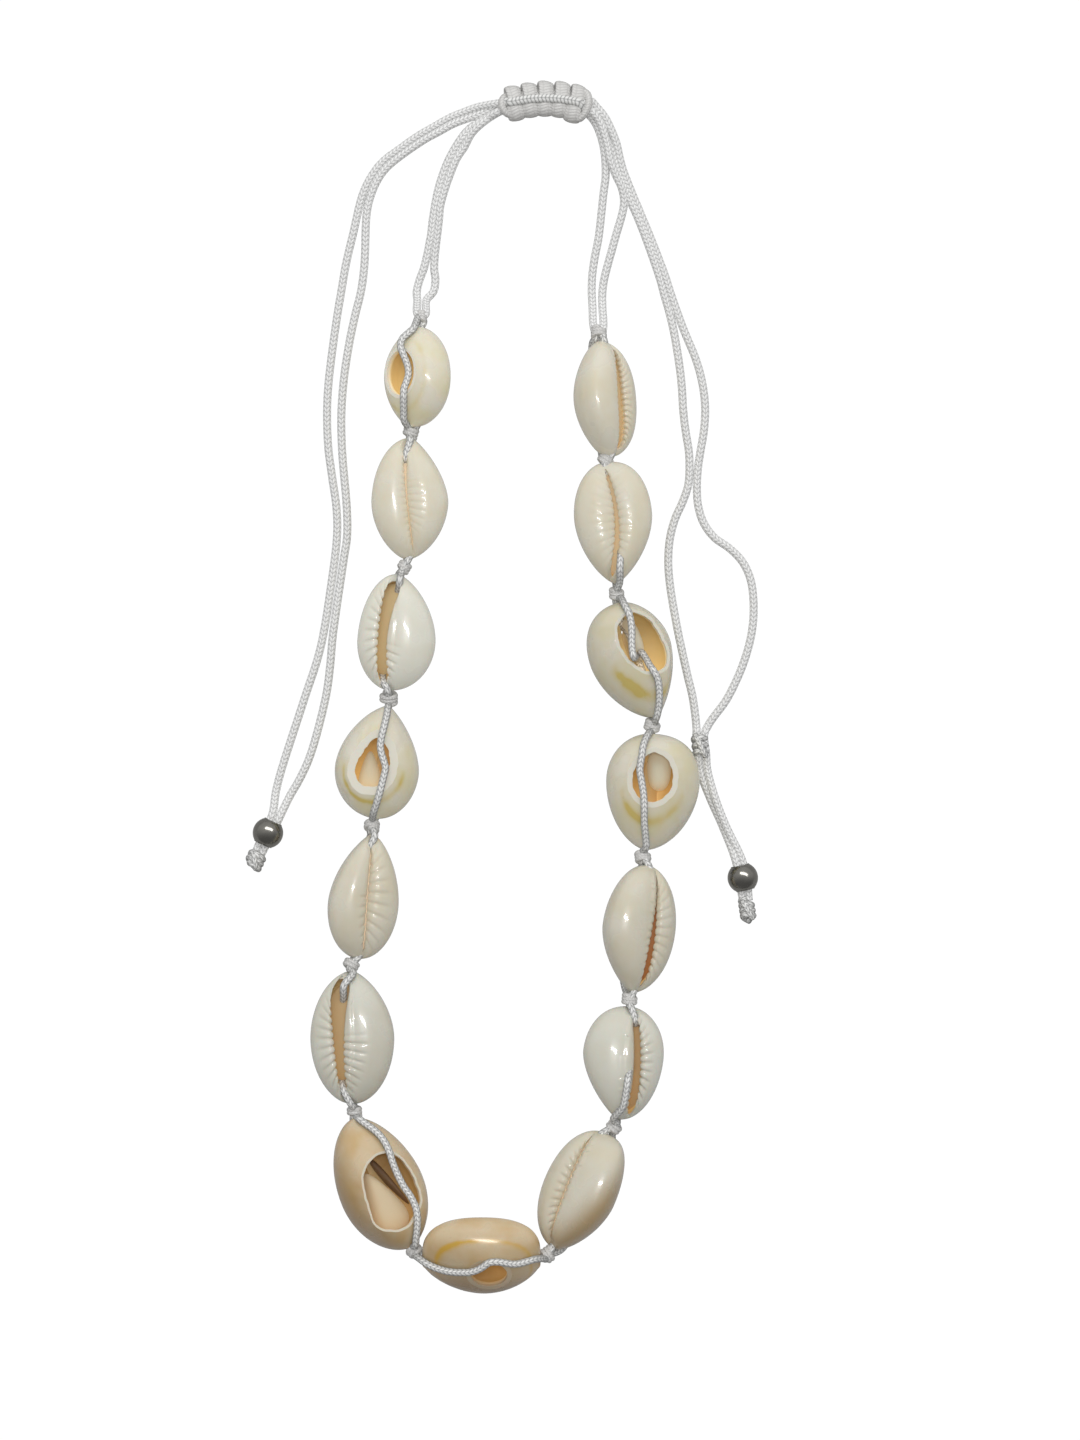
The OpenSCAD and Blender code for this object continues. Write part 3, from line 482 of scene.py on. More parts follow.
def rim_edge(s, t, grow):
    a = np.radians(t)
    outline = hole(s).outline
    if outline:
        (x, y), radii = outline
        r = round_table(radii, t) + grow + 0.04 * np.sin(9 * a) + 0.03 * np.sin(17 * a + 1)
        return flip(s) * x + r * np.cos(a), y + r * np.sin(a)
    return (flip(s) * s.hole[0] + (s.hole_size[0] + grow) * np.cos(a),
            s.hole[1] + (s.hole_size[1] + grow) * np.sin(a))


def slit_x(s, v):
    head, mid, tail = s.slit
    return flip(s) * (mid + (head - tail) * v / 2 + ((head + tail) / 2 - mid) * v * v)


def canal(s, x, v):
    """Depth of the canal that a strand lies in at each tip."""
    middle = slit_x(s, np.clip(v, -1, 1)) * (1 - 0.6 * smooth(np.abs(v), 0.8, 1))
    across = np.exp(-((x - middle) / CANAL_WIDE) ** 2)
    at_head, at_tail = (1.0 if sink < 1 else 0.3 for sink in lip(s).sink)
    return CANAL_DEEP * np.where(v > 0, at_head, at_tail) * across * smooth(np.abs(v), 0.62, 0.92)


def back(s, t, f):
    ex, ey = edge(s, t)
    rx, ry = rim_edge(s, t, hole(s).rim)
    x, y = mix(rx, ex, f), mix(ry, ey, f)
    v = y / half_len(s)
    m = margin_z(s, v)
    z = m + (s.high - m) * dome(RIM + (1 - RIM) * f) / dome(RIM)
    return x, y, z


def base_z(s, x, y):
    """Height of the base: two swollen lips with the slit in the valley between them."""
    v = np.clip(y / half_len(s), -1, 1)
    w = width_at(s, v, x >= 0)
    q = np.where(w < 0.02, 1, np.clip(np.abs(x) / np.maximum(w, 0.02), 0, 1))
    full = np.sqrt(np.clip(1 - np.abs(v) ** 2.2, 0, 1))
    belly = np.clip(1 - q ** 2.3, 0, 1) ** (1 / 2.3)
    outer = margin_z(s, v) - s.high * MARGIN_PART * full * belly
    middle = slit_x(s, v)
    p = np.abs(x - middle) / np.maximum(w + np.where(x >= 0, -1, 1) * middle, 0.3)
    fall = np.clip(1 - p / 0.6, 0, 1) ** 2 * np.sqrt(np.clip(1 - np.abs(v) ** 3, 0, 1))
    return outer + VALLEY * fall


def slit_place(u):
    """Where along the slit, and on which side, the point u (0 to 1) round the shell is."""
    q = 4 * u
    along = np.where(q <= 1, q, np.where(q <= 3, 2 - q, q - 4))
    side = np.where((q <= 1) | (q >= 3), 1, -1)
    return along * SLIT_V, side


def gap_half(s, v):
    head, mid, tail = lip(s).gap
    w = v / 0.7
    return np.clip(mid + (head - tail) / 2 * w + ((head + tail) / 2 - mid) * w * w, 0.03, 1.7)


def rib_depth(s, v, side):
    """How deep the groove between two ribs is here, from 0 to 1, how far it reaches over
    the lip, and whether there are ribs at all."""
    look = lip(s)
    viewer_right = side * flip(s) > 0
    strength, reach = np.zeros_like(v), np.zeros_like(v)
    for (far, low, high), here in ((look.right, viewer_right), (look.left, ~viewer_right)):
        on = smooth(v, low - 0.05, low + 0.1) * (1 - smooth(v, high - 0.1, high + 0.05))
        strength = np.where(here, on, strength)
        reach = np.where(here, far, reach)
    phase = np.pi / 2 * look.ribs * (v / SLIT_V) + np.where(side > 0, 0.0, 0.5 * np.pi)
    groove = np.cos(phase) ** 6
    return groove * strength, reach, strength


SHELL_ROWS = (
    [("back", f) for f in (0, 0.012, 0.04, 0.1, 0.17, 0.24, 0.29, 0.33, 0.36, 0.39, 0.41, 0.43,
                           0.45, 0.47, 0.5, 0.54, 0.6, 0.68, 0.76, 0.83, 0.89, 0.935, 0.97,
                           0.99, 1.0)]
    + [("base", f) for f in (0.012, 0.035, 0.07, 0.11, 0.16, 0.22, 0.29, 0.36, 0.43, 0.5, 0.57,
                             0.64, 0.7, 0.76, 0.82, 0.87, 0.91, 0.945, 0.975, 1.0)]
    + [("lip", f) for f in (0.15, 0.4, 0.7, 1.0)]
    + [("inside", f) for f in (0.1, 0.22, 0.35, 0.5, 0.65, 0.8, 0.9, 1.0)]
    + [("wall", f) for f in (0.3, 0.7, 0.95, 1.0)]
    + [("ground", f) for f in (0.04, 0.5, 0.96, 1.0)]
)


def base_row(s, u, f):
    """One ring of the base, f of the way from the margin to the slit: its points, the
    grooves there, the slit's edge, and where the ribbed part is satin."""
    t = 360 * u
    v, side = slit_place(u)
    u_along = v / SLIT_V
    deep, reach, ribbed = rib_depth(s, v, side)
    gap = gap_half(s, v)
    round_off = np.sqrt(np.clip(1 - np.abs(u_along) ** 12, 0, 1))
    sx = slit_x(s, v) + side * (gap + (0.08 + 0.3 * np.minimum(gap, 0.6)) * deep) * round_off
    sy = v * half_len(s)
    ex, ey = edge(s, t)
    x, y = mix(ex, sx, f), mix(ey, sy, f)
    rib = deep * smooth(f, 1 - reach, 1 - 0.45 * reach)
    z = base_z(s, x, y) + canal(s, x, y / half_len(s)) + lip(s).rib_deep * rib
    z = z + 0.4 * np.clip((f - 0.84) / 0.16, 0, 1) ** 2
    return x, y, z, rib, sx, sy, ribbed * smooth(f, 0.9 - reach, 1 - 0.6 * reach)


def inner_points(s, u):
    """Where the inner wall is widest, and its edge below the ground rim."""
    ex, ey = edge(s, 360 * u)
    wide = ex * 0.8, ey * 0.85, margin_z(s, 0.85 * ey / half_len(s)) + 0.4
    rx, ry = rim_edge(s, 360 * u, 0)
    return wide, (rx, ry, s.high - 0.95 + 0 * rx)


def shell_row(s, u, kind, f):
    """One ring of the shell: its points, and masks for the material."""
    zero = np.zeros_like(u)
    masks = {name: zero for name in "inner ground rib ring lip deep lit satin".split()}
    if kind == "back":
        x, y, z = back(s, 360 * u, f)
        z = z + canal(s, x, y / half_len(s)) * smooth(np.array(f), 0.9, 1)
        at, wide, head_side, tail_side = hole(s).ring
        strong = mix(tail_side, head_side, smooth(np.sin(2 * np.pi * u), -0.9, 0.9))
        masks["ring"] = strong * math.exp(-((f - at) / wide) ** 2) * (
            0.7 + 0.3 * np.sin(4 * np.pi * u + 0.7))
        masks["ground"] = zero + (1.0 if f == 0 else 0.0)
    elif kind == "base":
        x, y, z, rib, _, _, masks["satin"] = base_row(s, u, f)
        # the rib mask darkens the grooves between the ribs: partly the teeth's own brown, partly painted
        # shade
        masks["rib"] = rib * min(1.0, 4.5 * lip(s).rib_deep)
        masks["lip"] = smooth(np.array(f), 0.72, 0.98) + zero
    else:
        bx, by, bz, rib, sx, sy, _ = base_row(s, u, 1.0)
        _, side = slit_place(u)
        low = base_z(s, sx, sy)
        inward = sx + side * 0.45
        if kind == "lip":
            x, y, z = mix(bx, inward, f ** 1.5), by, mix(bz, low + LIP_T + SLIT_UP, f)
            masks["inner"] = zero + smooth(np.array(f), 0.1, 0.9)
            masks["rib"] = rib * (1 - f)
            masks["lip"] = zero + 1 - f * 0.5
        elif kind == "inside":
            (wx, wy, wz), (rx, ry, rz) = inner_points(s, u)
            start = inward, by, low + LIP_T + SLIT_UP
            if f < 0.5:
                a = f * math.pi
                x, y = mix(start[0], wx, math.sin(a)), mix(start[1], wy, math.sin(a))
                z = mix(start[2], wz, 1 - math.cos(a))
            else:
                a = (f - 0.5) * math.pi
                x, y = mix(rx, wx, math.cos(a)), mix(ry, wy, math.cos(a))
                z = mix(wz, rz, math.sin(a))
            masks["inner"] = zero + 1
            # painted shade: darker and browner deep inside, from the slit's inner edge to the widest part
            masks["deep"] = zero + 1 - smooth(np.array(f), 0.5, 1.0)
        elif kind == "wall":
            _, (rx, ry, rz) = inner_points(s, u)
            x, y, z = rx, ry, mix(rz, s.high, f)
            masks["inner"] = zero + 1 - smooth(np.array(f), 0.1, 0.8)
            masks["ground"] = zero + smooth(np.array(f), 0.1, 0.8)
        else:
            ax, ay = rim_edge(s, 360 * u, 0)
            ox, oy = rim_edge(s, 360 * u, hole(s).rim)
            x, y, z = mix(ax, ox, f), mix(ay, oy, f), s.high + zero
            masks["ground"] = zero + 1
    return np.stack([x, y, z + zero], -1), masks


def heading(s):
    return math.degrees(math.atan2(s.head[1] - s.tail[1], s.head[0] - s.tail[0]))


def place(s, p, lift):
    """Puts a shell's own points where it lies on the table, rolled and turned."""
    middle = [(s.head[0] + s.tail[0]) / 2, (s.head[1] + s.tail[1]) / 2, lift]
    rolled = turn_y(np.asarray(p, float) - [0, 0, s.high * TIP_PART], s.roll)
    return turn_z(rolled, heading(s) - 90) + middle


def sill(s):
    """The inner lip that closes the view into the slit, from one side of it to the other."""
    across, rows = 20, 40
    look = lip(s)
    low = -0.84 if look.aside[1] else -min(look.sink[1] - 0.12, 0.84)
    high = 0.84 if look.aside[0] else min(look.sink[0] - 0.08, 0.84)
    v = np.linspace(low, high, rows)[:, None]
    a = np.linspace(0, 2 * np.pi, across + 1)[None, :]
    part = (2 * v - low - high) / (high - low)
    round_off = np.sqrt(np.clip(1 - np.abs(part) ** 8, 0.0004, 1))
    side = -flip(s)
    middle = slit_x(s, v)
    x = middle + (gap_half(s, v) + 0.9) * np.cos(a) * round_off
    closed, ruddy = max(0, look.fill), max(0, -look.fill)
    wave = (0.35 * np.sin(a) + 0.55 * side * np.cos(a)) * round_off
    z = base_z(s, middle, v * half_len(s)) + mix(1.75, 0.95, closed) + wave
    points = np.stack(np.broadcast_arrays(x, v * half_len(s), z), -1)
    one = np.ones(points.shape[:2])
    # sill: painted shading across the inner lip, golden on one side and paler on the other
    masks = dict(inner=one, sill=0.5 + 0.5 * np.cos(a) * side * one, closed=closed * one,
                 # lit: painted glow, stronger where the slit is closed
                 ruddy=ruddy * one, lit=(0.45 + 0.9 * closed) * one)
    return bent_sheet(across, place(s, points, s.lift), masks)


def whorl(s, shape, dark=0.0):
    """The pale inner whorl, or painted shadow beside it, as a tapered body lying along the inside."""
    centre, half, slim, turn, top = shape
    bm = bmesh.new()
    bmesh.ops.create_uvsphere(bm, u_segments=40, v_segments=24, radius=1.0)
    low, high = LIP_T + 0.2, top * s.high
    p = np.array([v.co for v in bm.verts])
    p = np.sign(p) * np.abs(p) ** 0.8
    thin = 1 - slim * p[:, 1]
    q = np.stack([p[:, 0] * half[0] * thin, p[:, 1] * half[1], p[:, 2] * (high - low) / 2], -1)
    q = turn_z(q, turn) + [flip(s) * centre[0], centre[1], (high + low) / 2]
    pale, lit, shadow = (bm.verts.layers.float.new(name) for name in ("whorl", "lit", "shadow"))
    for v, spot in zip(bm.verts, place(s, q, s.lift) * MM):
        v.co = spot
        # painted glow on the pale whorl, none on the body of painted shadow
        v[pale], v[lit], v[shadow] = 1.0, 0.8 * (1 - dark), dark
    return bm


def seen_above(s, points):
    """How far towards the head each point is, from -1 at the tail to 1, and how many mm it
    lies to the right of the heading."""
    ahead = (np.array(s.head) - np.array(s.tail)) / (2 * half_len(s))
    from_middle = points[..., :2] - (np.array(s.head) + np.array(s.tail)) / 2
    return from_middle @ ahead / half_len(s), from_middle @ np.array([ahead[1], -ahead[0]])


def shell(s):
    """A cowrie: one grid bent from the hole's rim over the back, round the margin, under
    the base, through the slit and back up inside, with what lies in it."""
    u = np.linspace(0, 1, AROUND + 1)
    rows = [shell_row(s, u, kind, f) for kind, f in SHELL_ROWS]
    points = np.array([r[0] for r in rows])
    points[:, -1] = points[:, 0]
    points[-1] = points[0]
    flat = place(s, points, 0.0)
    s.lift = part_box("shell_" + s.name)[0][2] / MM - flat[..., 2].min()
    points = place(s, points, s.lift)
    masks = {name: np.array([r[1][name] for r in rows]) for name in rows[0][1]}
    side, strength, lean, wall_light = TONES.get(s.name, PLAIN_TONE)
    along, aside = seen_above(s, points)
    glow = hole(s).glow * np.clip(1 - 1.3 * along, 0.35, 1.7)
    # painted shade: one side of the shell, leaning towards the tail, is darkened and browned
    side_shade = np.clip(strength * smooth(side * aside / s.wide[0] - lean * along, -0.1, 1.1), 0, 1)
    # painted glow: the outer wall and the inside give out part of their colour as emission
    masks["lit"] = mix(wall_light, glow, masks["inner"])
    masks["ground"] = masks["ground"] * CHALK.get(s.name, 1.0)
    masks["side_shade"] = side_shade * (1 - masks["inner"])
    bm = bent_sheet(AROUND, points, masks)
    s.surface = BVHTree.FromBMesh(bm)
    bodies = [whorl(s, hole(s).coil)] if hole(s).coil else []
    if s.name in SHADOW_FOLDS:
        bodies.append(whorl(s, SHADOW_FOLDS[s.name], 1.0))
    bm = joined([bm, sill(s)] + bodies)
    finish_piece(bm, "cowrie_" + s.name, SKINS[s.skin], ["shell_" + s.name])


# The strands' way through the shells.

def back_point(s, t, f):
    return np.array([float(c) for c in back(s, np.array(t), np.array(f))])


def over_back(s, t, f, off):
    """A point off mm over the shell's back."""
    p = back_point(s, t, f)
    a = back_point(s, t + 0.5, f) - back_point(s, t - 0.5, f)
    b = back_point(s, t, min(1, f + 0.01)) - back_point(s, t, f - 0.01)
    return p + off * unit(np.cross(b, a))


def base_at(s, x, y):
    return float(base_z(s, np.array(x), np.array(y)))


def under_base(s, x, v, off):
    """A point off mm under the base, in its canal near a tip."""
    y = v * half_len(s)
    near = 0.05
    dx = (base_at(s, x + near, y) - base_at(s, x - near, y)) / 2 / near
    dy = (base_at(s, x, y + near) - base_at(s, x, y - near)) / 2 / near
    sunk = float(canal(s, np.array(x), np.array(v)))
    return np.array([x, y, base_at(s, x, y) + 0.8 * sunk]) + off * unit([dx, dy, -1])


def slit_at(s, v):
    return float(slit_x(s, np.array(v)))


def into_slit(s, d):
    """A strand's way from the tip at end d (1 head, -1 tail) through the slit, inwards."""
    off = CORD_R + CLEAR
    end = 0 if d > 0 else 1
    length, sink = half_len(s), lip(s).sink[end]
    if sink >= 1:
        return [np.array([0.5 * slit_at(s, 0.9 * d), 0.9 * d * length, 0.46 * s.high]),
                np.array([slit_at(s, 0.6 * d), 0.6 * d * length, 0.5 * s.high])]
    aside = flip(s) * lip(s).aside[end]
    points = [under_base(s, slit_at(s, TIP_V * d) * 0.15 + 0.5 * aside, TIP_V * d, off)]
    count = max(3 if aside else 2, round((TIP_V - sink) / 0.17))
    for v in np.linspace(TIP_V, sink, count)[1:-1]:
        lying = off if aside else 0.25 if v < 0.8 else 0.5 * off
        x = slit_at(s, v * d) + aside * min(1, (v - sink) / 0.12)
        points.append(under_base(s, x, v * d, lying))
    for v, rise in ((sink * d, 0.75), ((sink - 0.16) * d, 2.9)):
        low = base_at(s, slit_at(s, v), v * length)
        points.append(np.array([slit_at(s, v) + 0.75 * aside, v * length, low + rise]))
    return points


def under_shell(s):
    """A strand's way along the slit, under the shell."""
    return [under_base(s, slit_at(s, v), v, 0.1) for v in np.linspace(TIP_V, -TIP_V, 9)]


def over_and_in(s, d, x):
    """A strand's way from end d over the back and in by the ground hole."""
    off = CORD_R + CLEAR
    h, hx, hy = flip(s) * x, flip(s) * s.hole[0], s.hole[1]
    wide, long = s.hole_size
    past_rim = 1.15
    q = max(-0.85, min(0.85, (h - hx) / wide))
    w = q * wide / (wide + past_rim)
    y_in, y_out = long * math.sqrt(1 - q * q), (long + past_rim) * math.sqrt(1 - w * w)
    lean = math.degrees(math.asin(w))
    z, xo = s.high, hx + q * wide
    c = flip(s) * (s.lay[0] + s.lay[1]) / 2 + 0.68 * d
    return [
        over_back(s, d * (90 - lean * 0.1), 0.87, off), over_back(s, d * (90 - lean * 0.45), 0.6, off),
        over_back(s, d * (90 - lean * 0.75), 0.3, off), np.array([xo, hy + d * (y_out + 0.1), z + off]),
        np.array([xo, hy + d * (y_in - 0.45), z + off]),
        np.array([mix(xo, c, 0.5), hy + d * (y_in - 1.9), z - 0.5]),
        np.array([c, 0, z * 0.55]),
    ]


def resting_height(s, x, y, r):
    """How high a cord's middle lies over the shell at x, y; on the table beside it."""
    best = r
    for ring, count in ((0, 1), (0.5, 6), (0.92, 8)):
        for i in range(count):
            a = 2 * math.pi * i / count
            spot = ((x + ring * r * math.cos(a)) * MM, (y + ring * r * math.sin(a)) * MM, RAY_FROM)
            hit = s.surface.ray_cast(spot, (0, 0, -1))[0]
            if hit is not None:
                best = max(best, hit[2] / MM + r * math.sqrt(1 - ring * ring))
    return best


def laid_over(s, line, start, end):
    """A strand pulled over the shell along line, seen from above, bridging the hole."""
    path = smooth_route([[*start[:2], 0]] + [[x, y, 0] for x, y in line] + [[*end[:2], 0]], 0.4)
    far = distances(path)
    z = np.array([resting_height(s, x, y, CORD_R + 0.02) for x, y, _ in path])
    z[0], z[-1] = start[2], end[2]
    hull = []
    for i in range(len(z)):
        while len(hull) > 1 and ((z[hull[-1]] - z[hull[-2]]) * (far[i] - far[hull[-2]])
                                 <= (z[i] - z[hull[-2]]) * (far[hull[-1]] - far[hull[-2]])):
            hull.pop()
        hull.append(i)
    path[:, 2] = np.interp(far, far[hull], z[hull])
    return list(path[2:-2:3])


def tip(s, head):
    return np.array([*(s.head if head else s.tail), s.lift])


def knot_place(k):
    """Middle and direction of a small knot, from 0 before the first shell to 15."""
    first, last = SHELLS[0], SHELLS[14]
    aside = np.array([*SMALL_KNOTS[k][2:], 0.0])
    if k == 0:
        return (np.array([*KNOT_FIRST, first.lift - KNOT_UNDER]) + aside,
                unit(tip(first, True) - FROM_LEFT))
    if k == 15:
        return (np.array([*KNOT_LAST, last.lift - KNOT_UNDER]) + aside,
                unit(np.array(FROM_RIGHT) - tip(last, True)))
    before = tip(SHELLS[k - 1], k - 1 > 7)
    after = tip(SHELLS[k], k <= 7)
    return (before + after) / 2 + aside, unit(after - before)


def back_way(s):
    return turn_z(turn_y([0, 0, 1.0], s.roll), heading(s) - 90)


def knot_face(k, end, up):
    """Where a strand leaves the knot before (end 0) or after (1) shell k, on the side of
    the shell's back (up 1) or of its base (-1)."""
    at, way = knot_place(k + end)
    b = back_way(SHELLS[k])
    side = unit(b - (b @ way) * way)
    return at + (1 if end == 0 else -1) * KNOT_OFF * way + up * SIDE_STEP * side


def strand_by_shell(k, d):
    """Strand a (d = 1) or b (-1) at shell k, from the shell's head to its tail."""
    s = SHELLS[k]
    on_head = (d > 0) == (k <= 7)            # this strand comes over the back at the head
    head_end, tail_end = (0, 1) if k <= 7 else (1, 0)

    def placed(points):
        return [place(s, p, s.lift) for p in points]

    middle = np.array([slit_at(s, 0), 0, 0.5 * s.high])
    if s.name in LAID_TAIL:
        start, end = knot_face(k, head_end, 1), knot_face(k, tail_end, 1)
        deep = place(s, [0, 0, s.high - 3.4], s.lift)[2]
        if on_head:
            line = LAID[s.name]
            over = laid_over(s, line[:-1], start, np.array([*line[-1], deep]))
            inside = placed([middle] + into_slit(s, -1)[::-1])
            return [start] + over + inside + [knot_face(k, tail_end, -1)]
        line = LAID_TAIL[s.name]
        over = laid_over(s, line[1:], np.array([*line[0], deep]), end)
        return [knot_face(k, head_end, -1)] + placed(into_slit(s, 1) + [middle]) + over + [end]
    if s.name in LAID:
        if d > 0:
            start, end = knot_face(k, head_end, 1), knot_face(k, tail_end, 1)
            return [start] + laid_over(s, LAID[s.name], start, end) + [end]
        return [knot_face(k, head_end, -1)] + placed(under_shell(s)) + [knot_face(k, tail_end, -1)]
    if on_head:
        inside = placed(over_and_in(s, 1, s.lay[0]) + into_slit(s, -1)[::-1])
        return [knot_face(k, head_end, 1)] + inside + [knot_face(k, tail_end, -1)]
    inside = placed(into_slit(s, 1) + over_and_in(s, -1, s.lay[1])[::-1])
    return [knot_face(k, head_end, -1)] + inside + [knot_face(k, tail_end, 1)]


def string_route(d):
    """The whole way of strand a (d = 1) or b (-1), from the first knot to the last."""
    at, way = knot_place(0)
    route = [at - 0.3 * way]
    for k in range(15):
        part = strand_by_shell(k, d)
        route += part if k <= 7 else part[::-1]
        if k < 14:
            route.append(knot_place(k + 1)[0])
    at, way = knot_place(15)
    route.append(at + 0.3 * way)
    return np.array(route)


# Cords and knots.

def smooth_route(points, step):
    """A centripetal spline through the points, sampled every step mm."""
    p = np.asarray(points, float)
    p = np.vstack([2 * p[0] - p[1], p, 2 * p[-1] - p[-2]])
    out = []
    for i in range(1, len(p) - 2):
        a, b, c, d = p[i - 1:i + 3]
        t0 = 0.0
        t1 = t0 + max(np.linalg.norm(b - a), 1e-6) ** 0.5
        t2 = t1 + max(np.linalg.norm(c - b), 1e-6) ** 0.5
        t3 = t2 + max(np.linalg.norm(d - c), 1e-6) ** 0.5
        t = np.linspace(t1, t2, 24)[:, None]
        a1 = (t1 - t) / (t1 - t0) * a + (t - t0) / (t1 - t0) * b
        a2 = (t2 - t) / (t2 - t1) * b + (t - t1) / (t2 - t1) * c
        a3 = (t3 - t) / (t3 - t2) * c + (t - t2) / (t3 - t2) * d
        b1 = (t2 - t) / (t2 - t0) * a1 + (t - t0) / (t2 - t0) * a2
        b2 = (t3 - t) / (t3 - t1) * a2 + (t - t1) / (t3 - t1) * a3
        out.append(((t2 - t) / (t2 - t1) * b1 + (t - t1) / (t2 - t1) * b2)[:-1])
    out = np.vstack(out + [p[-2:-1]])
    far = distances(out)
    want = np.linspace(0, far[-1], max(3, int(far[-1] / step) + 1))
    return np.stack([np.interp(want, far, out[:, i]) for i in range(3)], -1)


def distances(route):
    """How far along the route each of its points is."""
    return np.concatenate([[0], np.cumsum(np.linalg.norm(np.diff(route, axis=0), axis=1))])


def ring_frames(route):
    """A steady pair of directions square to the route at each of its points."""
    ahead = np.gradient(route, axis=0)
    ahead /= np.linalg.norm(ahead, axis=1)[:, None]
    side = unit(np.cross(ahead[0], [0.0, 0.0, 1.0] if abs(ahead[0][2]) < 0.9 else [1.0, 0.0, 0.0]))
    sides = []
    for d in ahead:
        side = unit(side - (side @ d) * d)
        sides.append(side)
    sides = np.array(sides)
    return sides, np.cross(ahead, sides)


def cord_bmesh(route, radius, flat=1.0):
    """A round cord along the route, with its braid laid out on the UV map: once round is
    1 across, and 1 mm is 1 along."""
    n, b = ring_frames(route)
    a = np.linspace(0, 2 * np.pi, CORD_SIDES + 1)
    points = route[:, None] + radius * (np.cos(a)[None, :, None] * n[:, None]
                                        + flat * np.sin(a)[None, :, None] * b[:, None])
    points[:, -1] = points[:, 0]
    far = distances(route)
    around = np.linspace(0, 1, CORD_SIDES + 1)
    uv = np.stack(np.broadcast_arrays(around[None, :], far[:, None]), -1)
    bm = bent_sheet(CORD_SIDES, points, uv=uv)
    close_ends(bm)
    return bm


def knot_bmesh(at, way, wide, length, turns, radius, spin, slant, over=True):
    """A pulled-tight knot: slanting wraps round the cord, and a strand tucked over them."""
    way = unit(way)
    up = unit(np.array([0.0, 0.0, 1.0]) - way[2] * way)
    side = np.cross(up, way)
    t = np.linspace(-0.5, 0.5, 90)
    a = 2 * np.pi * turns * t + spin
    ring = (wide - radius) * (1 - 0.75 * smooth(np.abs(t), 0.44, 0.5))
    rise = (length - 2 * radius) * t + slant * np.cos(a + 0.8)
    at = np.asarray(at, float)
    wraps = at + ring[:, None] * (np.cos(a)[:, None] * side + np.sin(a)[:, None] * up) + rise[:, None] * way
    parts = [cord_bmesh(smooth_route(wraps[::3], CORD_STEP), radius)]
    if over:
        t = np.linspace(-0.5, 0.5, 12)
        tuck = (at + (0.8 * (length - radius) * t)[:, None] * way
                + ((wide - radius * 0.55) * np.sqrt(1 - (1.75 * t) ** 2))[:, None] * up
                + (0.9 * wide * t)[:, None] * side)
        parts.append(cord_bmesh(smooth_route(tuck, CORD_STEP), radius * 0.9))
    return joined(parts)


# Materials.

def fill(tree, node, values):
    """Sets inputs of a node: each value is a number, a colour or another node's output."""
    for key, value in values.items():
        if isinstance(value, bpy.types.NodeSocket):
            tree.links.new(value, node.inputs[key])
        elif isinstance(value, tuple):
            node.inputs[key].default_value = (*value, 1.0)[:4]
        else:
            node.inputs[key].default_value = value


def new_node(tree, kind, values=None, **settings):
    n = tree.nodes.new(kind)
    for key, value in settings.items():
        setattr(n, key, value)
    fill(tree, n, values or {})
    return n


def calc(tree, operation, *terms):
    """A Math node; each term is a number or a socket."""
    return new_node(tree, "ShaderNodeMath", dict(enumerate(terms)), operation=operation).outputs[0]


def blend_colour(tree, factor, a, b):
    """A colour mix; factor, a and b are values or sockets."""
    return new_node(tree, "ShaderNodeMix", {0: factor, 6: a, 7: b}, data_type="RGBA").outputs[2]


def mixed(a, b, f):
    return tuple(x + (y - x) * f for x, y in zip(a, b))


def mask(tree, name):
    return new_node(tree, "ShaderNodeAttribute", attribute_name=name).outputs["Fac"]


def layered(tree, colour, layers):
    """The colour with others laid over it, each where its mask is."""
    for name, over in layers:
        colour = blend_colour(tree, mask(tree, name), colour, over)
    return colour


def blank_material(name, **surface):
    material = bpy.data.materials.new(name)
    material.use_nodes = True
    tree = material.node_tree
    shader = tree.nodes["Principled BSDF"]
    fill(tree, shader, {key.replace("_", " "): value for key, value in surface.items()})
    return material, tree, shader


def group(name, inputs, outputs):
    """An empty node group with the sockets that are named, and its in and out nodes. They
    all hold numbers; inputs gives each its value."""
    tree = bpy.data.node_groups.new(name, "ShaderNodeTree")
    for title, value in inputs.items():
        socket = tree.interface.new_socket(title, in_out="INPUT", socket_type="NodeSocketFloat")
        socket.default_value = value
    for title in outputs:
        tree.interface.new_socket(title, in_out="OUTPUT", socket_type="NodeSocketFloat")
    return tree, tree.nodes.new("NodeGroupInput"), tree.nodes.new("NodeGroupOutput")


def cloudy_group():
    """Slow patches of one colour in another, over the piece's own coordinates."""
    tree, _, end = group("cloudy shell", {}, ["Patches", "Grain"])
    spot = new_node(tree, "ShaderNodeTexCoord").outputs["Object"]
    big = new_node(tree, "ShaderNodeTexNoise", {"Vector": spot, "Scale": 220.0, "Detail": 3.0})
    fine = new_node(tree, "ShaderNodeTexNoise", {"Vector": spot, "Scale": 2600.0, "Detail": 2.0})
    shaped = new_node(tree, "ShaderNodeMapRange",
                      {"Value": big.outputs["Fac"], "From Min": 0.35, "From Max": 0.65})
    fill(tree, end, {"Patches": shaped.outputs["Result"], "Grain": fine.outputs["Fac"]})
    return tree


CLOUDY = cloudy_group()


